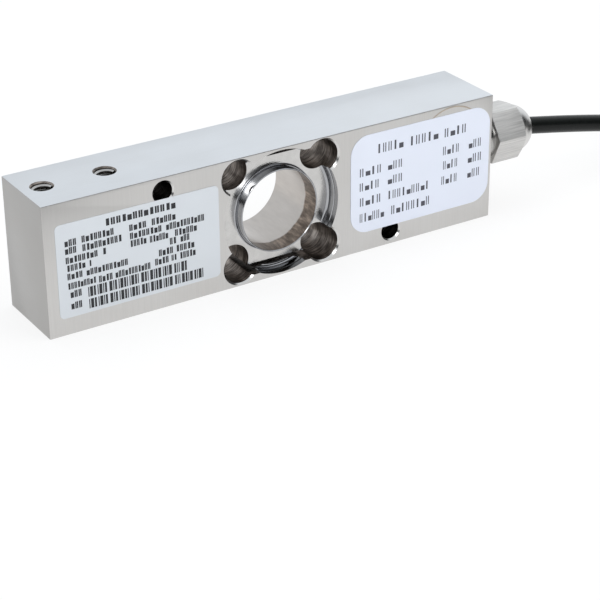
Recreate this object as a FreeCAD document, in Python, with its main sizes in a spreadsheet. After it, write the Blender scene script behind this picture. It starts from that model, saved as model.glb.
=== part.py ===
"""Single point load cell: a stainless block with a four-hole bending beam, a welded bore liner,
a sealed terminal pocket, a hexagon cable gland and its cable, folded into a tied hank.

Frame: origin at the middle of the block's bottom face, +X towards the cable end,
-Y towards the labelled face, +Z up. All sizes are in millimetres.
"""
import FreeCAD, Part
import math
import os
import re
import Sketcher
from FreeCAD import Placement, Rotation, Vector

DOC = FreeCAD.newDocument("SinglePointLoadCell")

# ---------------------------------------------------------------- driving sizes
SIZES = {
    # measuring block
    "block_length": 150,
    "block_depth": 25,
    "block_height": 40,
    "edge_break": 0.3,
    # round opening in the middle of the block
    "recess_radius": 19.2,
    "recess_depth": 4.5,
    "neck_fillet": 1.2,
    "neck_land": 0.15,
    "liner_radius": 12.8,
    "liner_wall": 0.4,
    "liner_setback": 1.2,
    "relief_radius": 13.4,
    "relief_width": 12,
    # four-hole beam
    "beam_hole_radius": 5.2,
    "beam_hole_spacing": 28.2,
    "beam_web": 0.9,
    "beam_thickness": 2.45,
    "slot_height": 1.3,
    "beam_hole_chamfer": 0.5,
    # two small cross holes
    "cross_hole_radius": 3,
    "cross_hole_spacing": 76.3,
    "cross_hole_inset": 4.5,
    "cross_hole_chamfer": 0.45,
    # mounting threads
    "thread_end_gap": 6.35,
    "thread_spacing": 19.05,
    "thread_depth": 12,
    "thread_size": 6,
    "thread_mouth": 6.8,
    # terminal pocket and its cover
    "cover_radius": 12.35,
    "cover_thickness": 1.2,
    "pocket_radius": 10.8,
    "pocket_end_gap": 15.25,
    "pocket_rise": 7,
    "board_depth": 10.6,
    "pocket_ledge": 1.6,
    "pocket_depth": 17.5,
    "duct_radius": 1.6,
    "duct_shift": 2,
    # gauges and wires inside
    "gauge_thickness": 0.12,
    "gauge_width": 6,
    "gauge_arc": 30,
    "gauge_wire_radius": 0.35,
    "board_thickness": 1.2,
    "board_clearance": 0.1,
    "board_flat_gap": 6,
    "resistor_length": 3.2,
    "resistor_width": 1.6,
    "resistor_height": 0.6,
    "resistor_pitch": 3.2,
    "post_radius": 0.7,
    "post_height": 1.6,
    "post_circle": 7.6,
    "header_radius": 4.4,
    "header_glass_radius": 3.5,
    "header_thickness": 2,
    "pin_radius": 0.3,
    "pin_circle": 1.9,
    "pin_reach": 1.6,
    "core_radius": 0.65,
    # cable gland
    "gland_height": 21.2,
    "gland_thread_radius": 5,
    "gland_thread_length": 5.5,
    "gland_bore": 3.1,
    "collar_radius": 7.2,
    "collar_length": 5.9,
    "gasket_radius": 6.1,
    "gasket_section": 0.6,
    "stem_radius": 6.1,
    "stem_length": 7.5,
    "seal_seat_radius": 5.1,
    "seal_seat_depth": 3.5,
    "seal_length": 5.4,
    "seal_nose_radius": 4.1,
    "nut_flats": 16.5,
    "nut_tilt": 5.3,
    "nut_hex_length": 10.7,
    "nut_chamfer": 0.4,
    "nut_shoulder": 7.7,
    "nut_length": 16.3,
    "nut_nose_radius": 4.5,
    "nut_mouth_radius": 3.5,
    # cable
    "cable_radius": 2.75,
    "hank_left": 176,
    "hank_run": 82.5,
    "hank_shift": 13,
    "hank_middle_radius": 20,
    "hank_columns": 2,
    "hank_layers": 5,
    "tie_thickness": 1,
    "tie_width": 4,
    "tie_head": 5,
    "tie_lock": 2.5,
    "tie_inset": 20,
    "sleeve_wall": 0.4,
    "sleeve_length": 16,
    "lead_radius": 0.65,
    "lead_circle": 1.75,
    "strand_radius": 0.35,
    "strand_length": 6,
    # labels on the front face
    "label_thickness": 0.15,
    "type_label_left": 3.5,
    "type_label_width": 50.6,
    "type_label_bottom": 5.3,
    "type_label_height": 28.2,
    "type_label_corner": 1.5,
    "wiring_label_right": 1,
    "wiring_label_width": 50.4,
    "wiring_label_bottom": 6.2,
    "wiring_label_height": 31,
    "wiring_label_corner": 6,
}

# Route of the free cable from inside the gland to the hank, and of its tail from the hank
# to the leads, as (x, y, z).
CABLE_ROUTE = [
    (85.4, 0.0, 21.2),
    (95.0, 0.0, 21.2),
    (105.5, 0.0, 19.35),
    (119.0, 0.0, 16.8),
    (134.0, 0.0, 13.65),
    (147.0, 1.4, 9.6),
    (158.5, 5.0, 5.9),
    (168.0, 8.4, 4.2),
    (177.0, 9.75, 3.75),
]
TAIL_ROUTE = [
    (258.5, -30.25, 4.3),
    (248.0, -29.3, 4.1),
    (237.5, -25.8, 3.6),
    (227.0, -21.0, 3.15),
    (214.5, -16.5, 3.15),
]
# Each lead's colour, its length in front of the cut jacket, its sideways spread in degrees and
# its seat in the cable: an angle round the cable's axis, or None for the middle.
LEADS = [
    ("green", 38, -3, 180),
    ("white", 39, 3.5, 120),
    ("yellow_short", 31, 10, 240),
    ("yellow_long", 44, 16.5, None),
    ("black", 39, 23, 300),
    ("red", 38, 29.5, 60),
    ("blue", 38, 36, 0),
]

SHEET = DOC.addObject("Spreadsheet::Sheet", "Sizes")
for row, (alias, value) in enumerate(SIZES.items(), start=1):
    SHEET.set(f"A{row}", alias)
    SHEET.set(f"B{row}", str(value))
    SHEET.setAlias(f"B{row}", alias)
SHEET.recompute()

WORKINGS = DOC.addObject("Spreadsheet::Sheet", "Workings")
MADE = []


def named(text):
    """An expression in the sheet's names, as another object has to write it."""
    return re.sub(r"\b([a-z]+(?:_[a-z]+)+)\b", r"Sizes.\1", str(text))


def worth(text):
    """The value of an expression in the sheet's names, worked out by a second sheet."""
    WORKINGS.set("A1", "=" + named(text))
    WORKINGS.recompute()
    return float(WORKINGS.get("A1"))


def bind(thing, prop, text):
    thing.setExpression(prop, named(text))


# ---------------------------------------------------------------- modelling helpers
def new_body(name, at=("0", "0", "0"), turn=Rotation()):
    """A body of its own name, set at a place given by three expressions."""
    body = DOC.addObject("PartDesign::Body", name)
    body.Label = name
    body.Placement = Placement(Vector(*[worth(text) for text in at]), turn)
    for letter, text in zip("xyz", at):
        bind(body, f"Placement.Base.{letter}", text)
    MADE.append(body)
    return body


def origin_feature(body, role):
    return next(part for part in body.Origin.OriginFeatures if part.Role == role)


def new_sketch(body, name, plane, lift="0"):
    """A sketch on one of the body's own planes, lifted along that plane's normal."""
    sketch = body.newObject("Sketcher::SketchObject", name)
    sketch.AttachmentSupport = [(origin_feature(body, plane), "")]
    sketch.MapMode = "FlatFace"
    sketch.AttachmentOffset = Placement(Vector(0, 0, worth(lift)), Rotation())
    bind(sketch, "AttachmentOffset.Base.z", lift)
    return sketch


def pin_point(sketch, geometry, point, across, up):
    """Ties one point of a sketch to the sketch's origin."""
    for kind, axis, text in (("DistanceX", -2, across), ("DistanceY", -1, up)):
        if text == "0":
            sketch.addConstraint(Sketcher.Constraint("PointOnObject", geometry, point, axis))
        else:
            rule = Sketcher.Constraint(kind, -1, 1, geometry, point, worth(text))
            index = sketch.addConstraint(rule)
            bind(sketch, f"Constraints[{index}]", text)


def add_circle(sketch, across, up, radius):
    centre = Vector(worth(across), worth(up), 0)
    geometry = sketch.addGeometry(Part.Circle(centre, Vector(0, 0, 1), worth(radius)))
    if across == "0" and up == "0":
        sketch.addConstraint(Sketcher.Constraint("Coincident", geometry, 3, -1, 1))
    else:
        pin_point(sketch, geometry, 3, across, up)
    index = sketch.addConstraint(Sketcher.Constraint("Radius", geometry, worth(radius)))
    bind(sketch, f"Constraints[{index}]", radius)


def add_outline(sketch, corners, arcs=None):
    """A closed outline of straight sides. A side named in arcs, {side: (centre across, centre up,
    radius)}, runs counterclockwise about its centre instead."""
    arcs = arcs or {}
    spots = [Vector(worth(across), worth(up), 0) for across, up in corners]
    sides = []
    for index, start in enumerate(spots):
        end = spots[(index + 1) % len(spots)]
        if index not in arcs:
            sides.append(sketch.addGeometry(Part.LineSegment(start, end)))
            continue
        across, up, radius = arcs[index]
        centre = Vector(worth(across), worth(up), 0)
        angles = [math.atan2(spot.y - centre.y, spot.x - centre.x) for spot in (start, end)]
        circle = Part.Circle(centre, Vector(0, 0, 1), worth(radius))
        sides.append(sketch.addGeometry(Part.ArcOfCircle(circle, *angles)))
        rule = sketch.addConstraint(Sketcher.Constraint("Radius", sides[-1], worth(radius)))
        bind(sketch, f"Constraints[{rule}]", radius)
    for index, side in enumerate(sides):
        after = sides[(index + 1) % len(sides)]
        sketch.addConstraint(Sketcher.Constraint("Coincident", side, 2, after, 1))
        pin_point(sketch, side, 1, *corners[index])


def add_box_outline(sketch, left, right, bottom, top):
    add_outline(sketch, [(left, bottom), (right, bottom), (right, top), (left, top)])


def pad(body, sketch, length, both_ways=False, reverse=False):
    feature = body.newObject("PartDesign::Pad", sketch.Name + "_pad")
    feature.Profile = sketch
    feature.SideType = "Symmetric" if both_ways else "One side"
    feature.Reversed = reverse
    bind(feature, "Length", length)
    return feature


def pocket(body, sketch, length=None, taper=None, reverse=False):
    """A cut of a given depth, or right through where no depth is given."""
    feature = body.newObject("PartDesign::Pocket", sketch.Name + "_cut")
    feature.Profile = sketch
    feature.Reversed = reverse
    if length:
        bind(feature, "Length", length)
    else:
        feature.Type = "ThroughAll"
    if taper:
        feature.TaperAngle = taper
    return feature


def turn(body, sketch, axis, cut=False, angle="360"):
    kind = "PartDesign::Groove" if cut else "PartDesign::Revolution"
    feature = body.newObject(kind, sketch.Name + ("_groove" if cut else "_turned"))
    feature.Profile = sketch
    feature.ReferenceAxis = (origin_feature(body, axis), [""])
    feature.Midplane = True
    bind(feature, "Angle", angle)
    return feature


def cut_checked(body, make, *args, **kwargs):
    """Makes a cutting feature and stops if it took nothing away."""
    DOC.recompute()
    before = body.Shape.Volume
    feature = make(body, *args, **kwargs)
    DOC.recompute()
    if not body.Shape.Volume < before - 1e-6:
        raise RuntimeError(f"{body.Label}: {feature.Name} cuts nothing")
    return feature


def keep_shape(name, shape, place=None):
    """A piece whose shape comes from Part's own functions."""
    piece = DOC.addObject("Part::Feature", name)
    piece.Label = name
    piece.Shape = shape
    if place:
        piece.Placement = place
    MADE.append(piece)
    return piece


def keep_group(name, members):
    """Several like solids kept as one piece."""
    group = DOC.addObject("Part::Compound", name)
    group.Label = name
    group.Links = members
    MADE.append(group)
    return group


def rod(name, radius, length, at, axis="Z"):
    """A round rod whose radius, length and place are expressions, along one axis of the frame."""
    piece = DOC.addObject("Part::Cylinder", name)
    turns = {"X": Rotation(Vector(0, 1, 0), 90), "Y": Rotation(Vector(1, 0, 0), -90), "Z": Rotation()}
    piece.Placement = Placement(Vector(*[worth(text) for text in at]), turns[axis])
    bind(piece, "Radius", radius)
    bind(piece, "Height", length)
    for letter, text in zip("xyz", at):
        bind(piece, f"Placement.Base.{letter}", text)
    return piece


# ---------------------------------------------------------------- shared places
HALF_DEPTH = "block_depth / 2"
END_FACE = "block_length / 2"
HOLE_X = "beam_hole_spacing / 2"
HOLE_Z = "block_height / 2 - beam_web - beam_hole_radius"
CROSS_X = "cross_hole_spacing / 2"
CROSS_Z = "block_height / 2 - cross_hole_inset"
POCKET_X = "(block_length / 2 - pocket_end_gap)"
GLAND_Z = "gland_height - block_height / 2"
SIDES = (("", ""), ("-", ""), ("", "-"), ("-", "-"))


def signed(sign, text):
    return f"{sign}({text})"


# ---------------------------------------------------------------- measuring block
def make_spring_body():
    """The block, in a frame at its own middle, so that its two ends are point symmetric."""
    body = new_body("spring_body", ("0", "0", "block_height / 2"))
    blank = new_sketch(body, "blank", "XZ_Plane")
    add_box_outline(blank, "-block_length / 2", "block_length / 2",
                    "-block_height / 2", "block_height / 2")
    solid = pad(body, blank, "block_depth", both_ways=True)
    DOC.recompute()
    edges = body.newObject("PartDesign::Chamfer", "broken_edges")
    edges.Base = (solid, [f"Edge{n + 1}" for n in range(len(solid.Shape.Edges))])
    bind(edges, "Size", "edge_break")

    cut_central_opening(body)
    cut_beam(body)
    cut_cross_holes(body)
    cut_mouth_chamfers(body)
    cut_mounting_threads(body)
    cut_terminal_pocket(body)
    cut_cable_entry(body)
    return body


def cut_central_opening(body):
    """Both recesses, the filleted necks round the liner, its bore and the gauge relief."""
    floor = "block_depth / 2 - recess_depth"
    neck = "liner_radius + neck_land"
    sketch = new_sketch(body, "central_opening", "XY_Plane")
    corners = [
        ("0", "-block_depth"),
        ("recess_radius", "-block_depth"),
        ("recess_radius", f"-({floor})"),
        (f"{neck} + neck_fillet", f"-({floor})"),
        (neck, f"-({floor}) - neck_fillet"),
        ("liner_radius", f"-({floor}) - neck_fillet"),
        ("liner_radius", "-relief_width / 2"),
        ("relief_radius", "-relief_width / 2"),
        ("relief_radius", "relief_width / 2"),
        ("liner_radius", "relief_width / 2"),
        ("liner_radius", f"{floor} + neck_fillet"),
        (neck, f"{floor} + neck_fillet"),
        (f"{neck} + neck_fillet", floor),
        ("recess_radius", floor),
        ("recess_radius", "block_depth"),
        ("0", "block_depth"),
    ]
    centre = f"{neck} + neck_fillet"
    add_outline(sketch, corners, {
        3: (centre, f"-({floor}) - neck_fillet", "neck_fillet"),
        11: (centre, f"{floor} + neck_fillet", "neck_fillet"),
    })
    cut_checked(body, turn, sketch, "Y_Axis", cut=True)


def cut_beam(body):
    """The four bending holes and the two slots that join each pair."""
    holes = new_sketch(body, "beam_holes", "XZ_Plane", HALF_DEPTH)
    for across, up in SIDES:
        add_circle(holes, signed(across, HOLE_X), signed(up, HOLE_Z), "beam_hole_radius")
    cut_checked(body, pocket, holes)
    slots = new_sketch(body, "beam_slots", "XZ_Plane", HALF_DEPTH)
    outer = "block_height / 2 - beam_thickness"
    for left, right, low, high in (
        (f"-({HOLE_X})", HOLE_X, f"{outer} - slot_height", outer),
        (f"-({HOLE_X})", HOLE_X, f"-({outer})", f"-({outer}) + slot_height"),
    ):
        add_box_outline(slots, left, right, low, high)
    cut_checked(body, pocket, slots)


def cut_cross_holes(body):
    sketch = new_sketch(body, "cross_holes", "XZ_Plane", HALF_DEPTH)
    add_circle(sketch, f"-({CROSS_X})", CROSS_Z, "cross_hole_radius")
    add_circle(sketch, CROSS_X, f"-({CROSS_Z})", "cross_hole_radius")
    cut_checked(body, pocket, sketch)


def cut_mouth_chamfers(body):
    """45 degree chamfers at the mouths of the bending holes and the cross holes."""
    for face, lift, reverse in (("front", HALF_DEPTH, False), ("rear", f"-({HALF_DEPTH})", True)):
        holes = new_sketch(body, f"beam_mouths_{face}", "XZ_Plane", lift)
        for across, up in SIDES:
            radius = "beam_hole_radius + beam_hole_chamfer"
            add_circle(holes, signed(across, HOLE_X), signed(up, HOLE_Z), radius)
        cut_checked(body, pocket, holes, "beam_hole_chamfer", taper=-45, reverse=reverse)
        small = new_sketch(body, f"cross_mouths_{face}", "XZ_Plane", lift)
        radius = "cross_hole_radius + cross_hole_chamfer"
        add_circle(small, f"-({CROSS_X})", CROSS_Z, radius)
        add_circle(small, CROSS_X, f"-({CROSS_Z})", radius)
        cut_checked(body, pocket, small, "cross_hole_chamfer", taper=-45, reverse=reverse)


def cut_mounting_threads(body):
    """Two M6 threads in the top of the loaded end and two in the bottom of the fixed end."""
    for name, sign, lift, upward in (
        ("load_end_threads", "-", "block_height / 2", False),
        ("fixed_end_threads", "", "-block_height / 2", True),
    ):
        sketch = new_sketch(body, name, "XY_Plane", lift)
        for inset in ("thread_end_gap", "thread_end_gap + thread_spacing"):
            place = signed(sign, f"block_length / 2 - ({inset})")
            add_circle(sketch, place, "0", "thread_size / 2")
        DOC.recompute()
        before = body.Shape.Volume
        hole = body.newObject("PartDesign::Hole", name + "_hole")
        hole.Profile = sketch
        hole.Reversed = upward
        hole.DepthType = "Dimension"
        hole.DrillPoint = "Angled"
        hole.HoleCutType = "Countersink"
        hole.HoleCutCustomValues = True
        bind(hole, "Diameter", "thread_size")
        bind(hole, "Depth", "thread_depth")
        bind(hole, "HoleCutDiameter", "thread_mouth")
        hole.HoleCutCountersinkAngle = 90
        DOC.recompute()
        if not body.Shape.Volume < before - 1:
            raise RuntimeError(f"{name} cuts nothing")


def cut_terminal_pocket(body):
    """The stepped round pocket: cover seat, board ledge and wire space, then the wire duct."""
    for name, radius, depth in (
        ("cover_seat", "cover_radius", "cover_thickness"),
        ("board_space", "pocket_radius", "board_depth + board_thickness"),
        ("wire_space", "pocket_radius - pocket_ledge", "pocket_depth"),
    ):
        sketch = new_sketch(body, name, "XZ_Plane", HALF_DEPTH)
        add_circle(sketch, POCKET_X, "pocket_rise", radius)
        cut_checked(body, pocket, sketch, depth)
    duct = new_sketch(body, "wire_duct", "YZ_Plane", POCKET_X)
    add_circle(duct, "duct_shift", "0", "duct_radius")
    cut_checked(body, pocket, duct, f"{POCKET_X} - liner_radius - gauge_thickness")


def cut_cable_entry(body):
    thread = new_sketch(body, "gland_thread", "YZ_Plane", END_FACE)
    add_circle(thread, "0", GLAND_Z, "gland_thread_radius")
    cut_checked(body, pocket, thread, "gland_thread_length")
    seat = new_sketch(body, "header_seat", "YZ_Plane", f"{END_FACE} - gland_thread_length")
    add_circle(seat, "0", GLAND_Z, "header_radius")
    cut_checked(body, pocket, seat, "pocket_end_gap - gland_thread_length")


# ---------------------------------------------------------------- inside the opening
def make_liner():
    """Thin tube through the bore; its two ends stand proud of the necks."""
    body = new_body("bore_liner", ("0", "0", "block_height / 2"))
    sketch = new_sketch(body, "liner_wall", "XY_Plane")
    half = "block_depth / 2 - liner_setback"
    add_box_outline(sketch, "liner_radius - liner_wall", "liner_radius", f"-({half})", half)
    turn(body, sketch, "Y_Axis")


def make_gauges():
    """Four foil gauges, each on the thin wall between the bore and one bending hole."""
    lean = math.degrees(math.atan2(worth(HOLE_Z), worth(HOLE_X)))
    for name, angle in (
        ("strain_gauge_upper_right", -lean),
        ("strain_gauge_lower_right", lean),
        ("strain_gauge_lower_left", 180 - lean),
        ("strain_gauge_upper_left", 180 + lean),
    ):
        spin = Rotation(Vector(0, 1, 0), angle)
        body = new_body(name, ("0", "0", "block_height / 2"), spin)
        sketch = new_sketch(body, name + "_foil", "XY_Plane")
        add_box_outline(sketch, "relief_radius - gauge_thickness", "relief_radius",
                        "-gauge_width / 2", "gauge_width / 2")
        turn(body, sketch, "Y_Axis", angle="gauge_arc")


def make_gauge_wires():
    """Four wires from the gauge relief through the duct into the wire space."""
    wires = []
    start = "relief_radius - gauge_thickness"
    reach = f"{POCKET_X} - pocket_radius + pocket_ledge * 3 - ({start})"
    offset = "duct_radius - gauge_wire_radius - 0.05"
    for number, (side, rise) in enumerate(((offset, "0"), (f"-({offset})", "0"),
                                           ("0", offset), ("0", f"-({offset})")), start=1):
        at = (start, f"duct_shift + {side}", f"block_height / 2 + {rise}")
        wires.append(rod(f"gauge_wire_{number}", "gauge_wire_radius", reach, at, "X"))
    keep_group("gauge_wires", wires)


# ---------------------------------------------------------------- terminal pocket
BOARD_BACK = "board_depth + board_thickness - block_depth / 2"
POCKET_Z = "block_height / 2 + pocket_rise"


def make_terminal_board():
    """Round board on the pocket's ledge, with a flat beside the cable header."""
    body = new_body("terminal_board", (POCKET_X, BOARD_BACK, POCKET_Z))
    sketch = new_sketch(body, "board_disc", "XZ_Plane")
    add_circle(sketch, "0", "0", "pocket_radius - board_clearance")
    pad(body, sketch, "board_thickness")
    flat = new_sketch(body, "board_flat", "XZ_Plane")
    add_box_outline(flat, "board_flat_gap", "pocket_radius * 2", "-pocket_radius", "pocket_radius")
    cut_checked(body, pocket, flat, "board_thickness", reverse=True)


def make_board_parts():
    """Trimming resistors and solder posts on the front of the board."""
    front = f"{BOARD_BACK} - board_thickness"
    resistors = []
    for number in range(4):
        piece = DOC.addObject("Part::Box", f"resistor_{number + 1}")
        bind(piece, "Length", "resistor_length")
        bind(piece, "Width", "resistor_height")
        bind(piece, "Height", "resistor_width")
        rise = f"{POCKET_Z} + resistor_pitch * {number - 2} + resistor_width / 2"
        for letter, text in (("x", f"{POCKET_X} - resistor_length / 2"),
                             ("y", f"{front} - resistor_height"), ("z", rise)):
            bind(piece, f"Placement.Base.{letter}", text)
        resistors.append(piece)
    keep_group("trim_resistors", resistors)
    posts = []
    for number in range(7):
        angle = 60 + 40 * number
        at = (f"{POCKET_X} + post_circle * cos({angle})", front + " - post_height",
              f"{POCKET_Z} + post_circle * sin({angle})")
        posts.append(rod(f"post_{number + 1}", "post_radius", "post_height", at, "Y"))
    keep_group("solder_posts", posts)


def make_cover():
    """Thin round cover, welded flush with the front face."""
    body = new_body("pocket_cover", (POCKET_X, f"cover_thickness - {HALF_DEPTH}", POCKET_Z))
    sketch = new_sketch(body, "cover_disc", "XZ_Plane")
    add_circle(sketch, "0", "0", "cover_radius")
    pad(body, sketch, "cover_thickness")


# ---------------------------------------------------------------- sealed header and cores
HEADER_OUTER = "block_length / 2 - gland_thread_length"
CORE_SPOTS = [("0", "0")] + [
    (f"pin_circle * cos({60 * n})", f"pin_circle * sin({60 * n})") for n in range(6)
]


def make_header():
    """Steel eyelet with a glass bead that seven pins pass through."""
    at = (HEADER_OUTER, "0", "gland_height")
    eyelet = new_body("header_eyelet", at)
    ring = new_sketch(eyelet, "eyelet_ring", "YZ_Plane")
    add_circle(ring, "0", "0", "header_radius")
    add_circle(ring, "0", "0", "header_glass_radius")
    pad(eyelet, ring, "header_thickness", reverse=True)
    glass = new_body("header_glass", at)
    bead = new_sketch(glass, "glass_bead", "YZ_Plane")
    add_circle(bead, "0", "0", "header_glass_radius")
    for across, up in CORE_SPOTS:
        add_circle(bead, across, up, "pin_radius")
    pad(glass, bead, "header_thickness", reverse=True)
    pins = []
    cores = []
    for number, (across, up) in enumerate(CORE_SPOTS, start=1):
        side, rise = across, f"gland_height + {up}"
        start = f"{HEADER_OUTER} - header_thickness - pin_reach"
        length = "header_thickness + pin_reach * 2"
        pins.append(rod(f"pin_{number}", "pin_radius", length, (start, side, rise), "X"))
        bare = f"{HEADER_OUTER} + pin_reach"
        run = f"{CABLE_ROUTE[0][0]} - ({bare})"
        cores.append(rod(f"core_{number}", "core_radius", run, (bare, side, rise), "X"))
    keep_group("header_pins", pins)
    keep_group("cable_cores", cores)


# ---------------------------------------------------------------- cable gland
def make_gland_body():
    """Turned body: thread in the block, round collar, stem for the nut, seat for the seal."""
    body = new_body("gland_body", ("block_length / 2", "0", "gland_height"))
    sketch = new_sketch(body, "gland_section", "XY_Plane")
    stem_end = "collar_length + stem_length"
    groove = "gasket_radius + gasket_section"
    corners = [
        ("-gland_thread_length", "gland_bore"),
        ("-gland_thread_length", "gland_thread_radius"),
        ("0", "gland_thread_radius"),
        ("0", "gasket_radius - gasket_section"),
        ("gasket_section * 2", "gasket_radius - gasket_section"),
        ("gasket_section * 2", groove),
        ("0", groove),
        ("0", "collar_radius"),
        ("collar_length", "collar_radius"),
        ("collar_length", "stem_radius"),
        (stem_end, "stem_radius"),
        (stem_end, "seal_seat_radius"),
        (f"{stem_end} - seal_seat_depth", "seal_seat_radius"),
        (f"{stem_end} - seal_seat_depth", "gland_bore"),
    ]
    add_outline(sketch, corners)
    turn(body, sketch, "X_Axis")
    ring = new_body("gland_gasket", ("block_length / 2 + gasket_section", "0", "gland_height"))
    section = new_sketch(ring, "gasket_section_circle", "XY_Plane")
    add_circle(section, "0", "gasket_radius", "gasket_section")
    turn(ring, section, "X_Axis")


def make_gland_seal():
    """Rubber bush round the cable, squeezed between the stem and the nut's cone."""
    seat = "block_length / 2 + collar_length + stem_length - seal_seat_depth"
    body = new_body("gland_seal", (seat, "0", "gland_height"))
    sketch = new_sketch(body, "seal_section", "XY_Plane")
    add_outline(sketch, [
        ("0", "cable_radius"),
        ("0", "seal_seat_radius"),
        ("seal_seat_depth", "seal_seat_radius"),
        ("seal_length", "seal_nose_radius"),
        ("seal_length", "cable_radius"),
    ])
    turn(body, sketch, "X_Axis")


def make_gland_nut():
    """Hexagon nut with a chamfered end, a round shoulder and a mouth for the cable."""
    lean = Rotation(Vector(1, 0, 0), -SIZES["nut_tilt"])
    body = new_body("gland_nut", ("block_length / 2 + collar_length", "0", "gland_height"), lean)
    hexagon = new_sketch(body, "nut_hexagon", "YZ_Plane")
    corner = "nut_flats / sqrt(3)"
    spots = [(f"{corner} * cos({60 * n})", f"{corner} * sin({60 * n})") for n in range(6)]
    add_outline(hexagon, [(across, "0" if n % 3 == 0 else up)
                          for n, (across, up) in enumerate(spots)])
    pad(body, hexagon, "nut_length")
    outside = new_sketch(body, "nut_outside", "XY_Plane")
    start = "(nut_hex_length + nut_chamfer)"
    middle = (f"(nut_length ^ 2 + nut_nose_radius ^ 2 - {start} ^ 2 - nut_shoulder ^ 2)"
              f" / (2 * (nut_length - {start}))")
    add_outline(outside, [
        ("nut_length", "nut_nose_radius"),
        (start, "nut_shoulder"),
        ("nut_hex_length", "nut_flats / 2"),
        ("nut_hex_length - nut_chamfer * 2", f"{corner} + nut_chamfer / 2"),
        ("nut_length", f"{corner} + nut_chamfer / 2"),
    ], {0: (middle, "0", f"sqrt((nut_length - {middle}) ^ 2 + nut_nose_radius ^ 2)")})
    cut_checked(body, turn, outside, "X_Axis", cut=True)
    inside = new_sketch(body, "nut_inside", "XY_Plane")
    seal_end = "stem_length - seal_seat_depth + seal_length"
    add_outline(inside, [
        ("0", "0"),
        ("0", "stem_radius"),
        ("stem_length", "stem_radius"),
        ("stem_length", "seal_seat_radius"),
        (seal_end, "seal_nose_radius"),
        (seal_end, "nut_mouth_radius"),
        ("nut_length", "nut_mouth_radius"),
        ("nut_length", "0"),
    ])
    cut_checked(body, turn, inside, "X_Axis", cut=True)


# ---------------------------------------------------------------- cable
def tangent_path(points):
    """Straight runs joined by tangent arcs, each as large as its two runs allow."""
    spots = [Vector(*point) for point in points]
    edges, radii = [], []
    begin = spots[0]
    for before, corner, after in zip(spots, spots[1:], spots[2:]):
        back, ahead = before - corner, after - corner
        half_turn = (math.pi - back.getAngle(ahead)) / 2
        reach = 0.45 * min(back.Length, ahead.Length)
        back.normalize()
        ahead.normalize()
        start, end = corner + back * reach, corner + ahead * reach
        radius = reach / math.tan(half_turn)
        inward = back + ahead
        inward.normalize()
        middle = corner + inward * (math.hypot(radius, reach) - radius)
        edges.append(Part.LineSegment(begin, start).toShape())
        edges.append(Part.Arc(start, middle, end).toShape())
        radii.append(radius)
        begin = end
    edges.append(Part.LineSegment(begin, spots[-1]).toShape())
    return Part.Wire(edges), radii


def round_cord(points, radius, label):
    """A round cord along a route, with its volume checked against its length."""
    path, radii = tangent_path(points)
    first = Vector(*points[0])
    circle = Part.Circle(first, Vector(*points[1]) - first, radius)
    section = Part.Wire([circle.toShape()])
    solid = path.makePipeShell([section], True, False)
    expected = math.pi * radius ** 2 * path.Length
    if abs(solid.Volume - expected) > 0.01 * expected:
        raise RuntimeError(f"{label}: volume {solid.Volume:.1f}, expected {expected:.1f}")
    print(f"{label}: length {path.Length:.1f}, arc radii",
          ", ".join(f"{value:.0f}" for value in radii))
    return solid


HANK_WIDE = "hank_columns * cable_radius * 2"
HANK_TALL = "hank_layers * cable_radius * 2"
HANK_INNER = f"hank_middle_radius - {HANK_WIDE} / 2"
HANK_OUTER = f"hank_middle_radius + {HANK_WIDE} / 2"


def make_cable():
    """The hank's outer form, then the free run into it and the cable's cut end inside it."""
    hank = new_body("cable_hank", ("hank_left", "-hank_shift", "tie_thickness"))
    ring = new_sketch(hank, "hank_ring", "XY_Plane")
    for radius in (HANK_OUTER, HANK_INNER):
        right = ("hank_run", "0", radius)
        left = ("0", "0", radius)
        add_outline(ring, [
            ("0", f"-({radius})"), ("hank_run", f"-({radius})"), (f"hank_run + {radius}", "0"),
            ("hank_run", radius), ("0", radius), (f"-({radius})", "0"),
        ], {1: right, 2: right, 4: left, 5: left})
    solid = pad(hank, ring, HANK_TALL)
    DOC.recompute()
    soft = hank.newObject("PartDesign::Fillet", "hank_rounding")
    edges = [f"Edge{number}" for number, edge in enumerate(solid.Shape.Edges, start=1)
             if edge.BoundBox.ZLength < 0.01]
    soft.Base = (solid, edges)
    bind(soft, "Radius", "cable_radius * 0.98")
    DOC.recompute()
    radius = SIZES["cable_radius"]
    for name, route in (("cable", CABLE_ROUTE), ("cable_tail", TAIL_ROUTE)):
        keep_shape(name, round_cord(route, radius, name).cut(hank.Shape))


def make_ties():
    """Two flat ties, one round each side of the hank, each with its small lock on top."""
    thick = "tie_thickness"
    for name, side, place in (
        ("hank_tie_near", -90, "hank_left + tie_inset"),
        ("hank_tie_far", 90, "hank_left + hank_run - tie_inset"),
    ):
        tie = new_body(name, (place, "-hank_shift", thick), Rotation(Vector(0, 0, 1), side))
        band = new_sketch(tie, name + "_band", "XZ_Plane")
        for grow in ("0", thick):
            add_box_outline(band, f"{HANK_INNER} - {grow}", f"{HANK_OUTER} + {grow}",
                            f"-({grow})", f"{HANK_TALL} + {grow}")
        pad(tie, band, "tie_width", both_ways=True)
        lock = new_sketch(tie, name + "_lock", "XZ_Plane")
        add_box_outline(lock, "hank_middle_radius - tie_head / 2", "hank_middle_radius + tie_head / 2",
                        f"{HANK_TALL} + {thick}", f"{HANK_TALL} + {thick} + tie_lock")
        pad(tie, lock, "tie_head", both_ways=True)


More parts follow.
